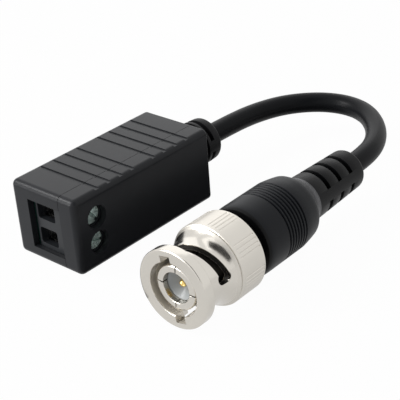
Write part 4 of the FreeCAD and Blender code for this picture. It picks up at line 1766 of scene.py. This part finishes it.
@dataclass
class Studio:
    """The camera at the photograph's angle, a pale floor and soft lamps."""

    eye: Vec3 = (-0.128049, -0.142249, 0.107535)
    right: Vec3 = (0.65675517, -0.75098049, -0.0685634)
    up: Vec3 = (0.40002588, 0.26986902, 0.875871)
    ahead: Vec3 = (0.6392589, 0.60265994, -0.47764951)
    lens: float = 103.539
    sensor: float = 36.0
    clip: Pair = (0.01, 10.0)
    ambient: float = 0.45
    floor_side: float = 4.0
    floor_drop: float = 0.00005
    floor_paint: float = 0.6
    floor_seen: float = 0.975
    floor_mirrored: float = 0.7
    card_paint: float = 0.01
    middle: Vec3 = (0.01, -0.015, 0.005)
    lamps: tuple[Lamp, ...] = (
        Lamp("back", (0.40, 0.38, 0.34), 0.60, 0.57),
        Lamp("left", (-0.42, 0.46, 0.54), 0.30, 4.2),
        Lamp("top", (-0.05, -0.05, 0.70), 0.50, 0.45),
        Lamp("front", (-0.55, 0.30, 0.16), 0.30, 2.2),
    )
    cards: tuple[Card, ...] = (
        # Painted dark reflection: this card stands in for the dark room behind the camera, seen in
        # the nut's flare.
        Card("dark_room_reflection_card", (-0.107, -0.211, 0.292), (0.17, 0.52), (-0.012, -0.036, 0.012)),
        # Painted shade: this card lies on the floor between the case and the plug and darkens the
        # floor seen in the case's side.
        Card("floor_shade_reflection_card", (0.014, -0.0153, 0.0002), (0.074, 0.0138), (0.014, -0.0153, 1.0)),
    )

    def build(self) -> None:
        """Sets up the camera, the floor, the surroundings, the lamps and the cards."""
        self._camera()
        self._floor()
        self._world()
        for lamp in self.lamps:
            self._lamp(lamp)
        for card in self.cards:
            self._card(card)
        bpy.context.scene.view_settings.view_transform = "Standard"

    def _camera(self) -> None:
        """Places the camera."""
        data = bpy.data.cameras.new("camera")
        data.lens = self.lens
        data.sensor_width = self.sensor
        data.clip_start, data.clip_end = self.clip
        camera = bpy.data.objects.new("camera", data)
        bpy.context.scene.collection.objects.link(camera)
        facing = Matrix((self.right, self.up, [-c for c in self.ahead])).transposed().to_4x4()
        camera.matrix_world = Matrix.Translation(self.eye) @ facing
        bpy.context.scene.camera = camera

    @staticmethod
    def _facing(spot: Vec3, aim: Vec3, axis: str) -> Matrix:
        """The place of something whose axis points at a place."""
        way = (Vector(aim) - Vector(spot)).to_track_quat(axis, "Y")
        return Matrix.Translation(spot) @ way.to_matrix().to_4x4()

    def _lamp(self, lamp: Lamp) -> None:
        """Adds a soft lamp that faces the part.

        Args:
            lamp: The lamp.
        """
        data = bpy.data.lights.new(lamp.name, "AREA")
        data.shape = "SQUARE"
        data.size = lamp.side
        data.energy = lamp.power
        light = bpy.data.objects.new(lamp.name, data)
        bpy.context.scene.collection.objects.link(light)
        light.matrix_world = self._facing(lamp.spot, self.middle, "-Z")

    def _card(self, card: Card) -> None:
        """Sets up a dark card.

        Args:
            card: The card.
        """
        clear_bench()
        bpy.ops.mesh.primitive_plane_add(size=1)
        sheet = bpy.context.object
        sheet.name = card.name
        sheet.data.transform(Matrix.Diagonal((*card.sides, 1, 1)))
        sheet.matrix_world = self._facing(card.spot, card.aim, "Z")
        black = NodeTray(card.name)
        black.set(Base_Color=(*[self.card_paint] * 3, 1), Roughness=0.9)
        sheet.data.materials.append(black.material)
        # The cards show only in reflections and cast no shadow or light: painted dark reflections.
        sheet.visible_camera = sheet.visible_diffuse = False
        sheet.visible_transmission = sheet.visible_shadow = False

    @staticmethod
    def _seen(wires: Wiring, straight: float, mirrored: float) -> Socket:
        """How far a surface shows as plain white.

        Args:
            wires: The nodes it is for.
            straight: How far it does so to the camera.
            mirrored: How far it does so in metal and glass.

        Returns:
            The share's socket, which is zero for every other ray.
        """
        rays = wires.add("LightPath").outputs
        mirror = wires.larger(rays["Is Glossy Ray"], rays["Is Transmission Ray"])
        camera = wires.times(rays["Is Camera Ray"], straight)
        return wires.larger(camera, wires.times(mirror, mirrored))

    def _floor(self) -> None:
        """Lays the pale floor."""
        clear_bench()
        bpy.ops.mesh.primitive_plane_add(size=self.floor_side, location=(0, 0, -self.floor_drop))
        floor = bpy.context.object
        floor.name = "floor"
        material = bpy.data.materials.new("pale_floor")
        wires = Wiring(material)
        seen = self._seen(wires, self.floor_seen, self.floor_mirrored)
        paint = wires.add("BsdfDiffuse", Color=(*[self.floor_paint] * 3, 1)).outputs[0]
        glow = wires.add("Emission", Color=(1, 1, 1, 1), Strength=1.0).outputs[0]
        mix = wires.add("MixShader")
        for socket, value in zip(mix.inputs, (seen, paint, glow)):
            wires.put(socket, value)
        wires.add("OutputMaterial", Surface=mix.outputs[0])
        floor.data.materials.append(material)

    def _world(self) -> None:
        """Surrounds the part with soft light, and white where it is looked at."""
        world = bpy.data.worlds.new("studio")
        bpy.context.scene.world = world
        wires = Wiring(world)
        seen = self._seen(wires, 1.0, 1.0)
        strength = wires.add("MapRange", Value=seen, To_Min=self.ambient, To_Max=1.0)
        light = wires.add("Background", Color=(1, 1, 1, 1), Strength=strength.outputs["Result"])
        wires.add("OutputWorld", Surface=light.outputs[0])


def main() -> None:
    """Builds every piece in order."""
    logging.basicConfig(level=logging.INFO, format="%(name)s: %(message)s")
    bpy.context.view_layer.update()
    place = PlugPlace()
    finishes = FinishBook(place.origin, place.heading).all()
    Studio().build()
    case = Case(finishes)
    case.build()
    WireTerminal(finishes, case).build()
    CableGland(finishes, case).build()
    CouplingNut(finishes, place).build()
    PlugFront(finishes, place).build()
    PlugBoot(finishes, place).build()
    FreeCable(finishes).build()
    InnerWorks(finishes).build()


if __name__ == "__main__":
    main()
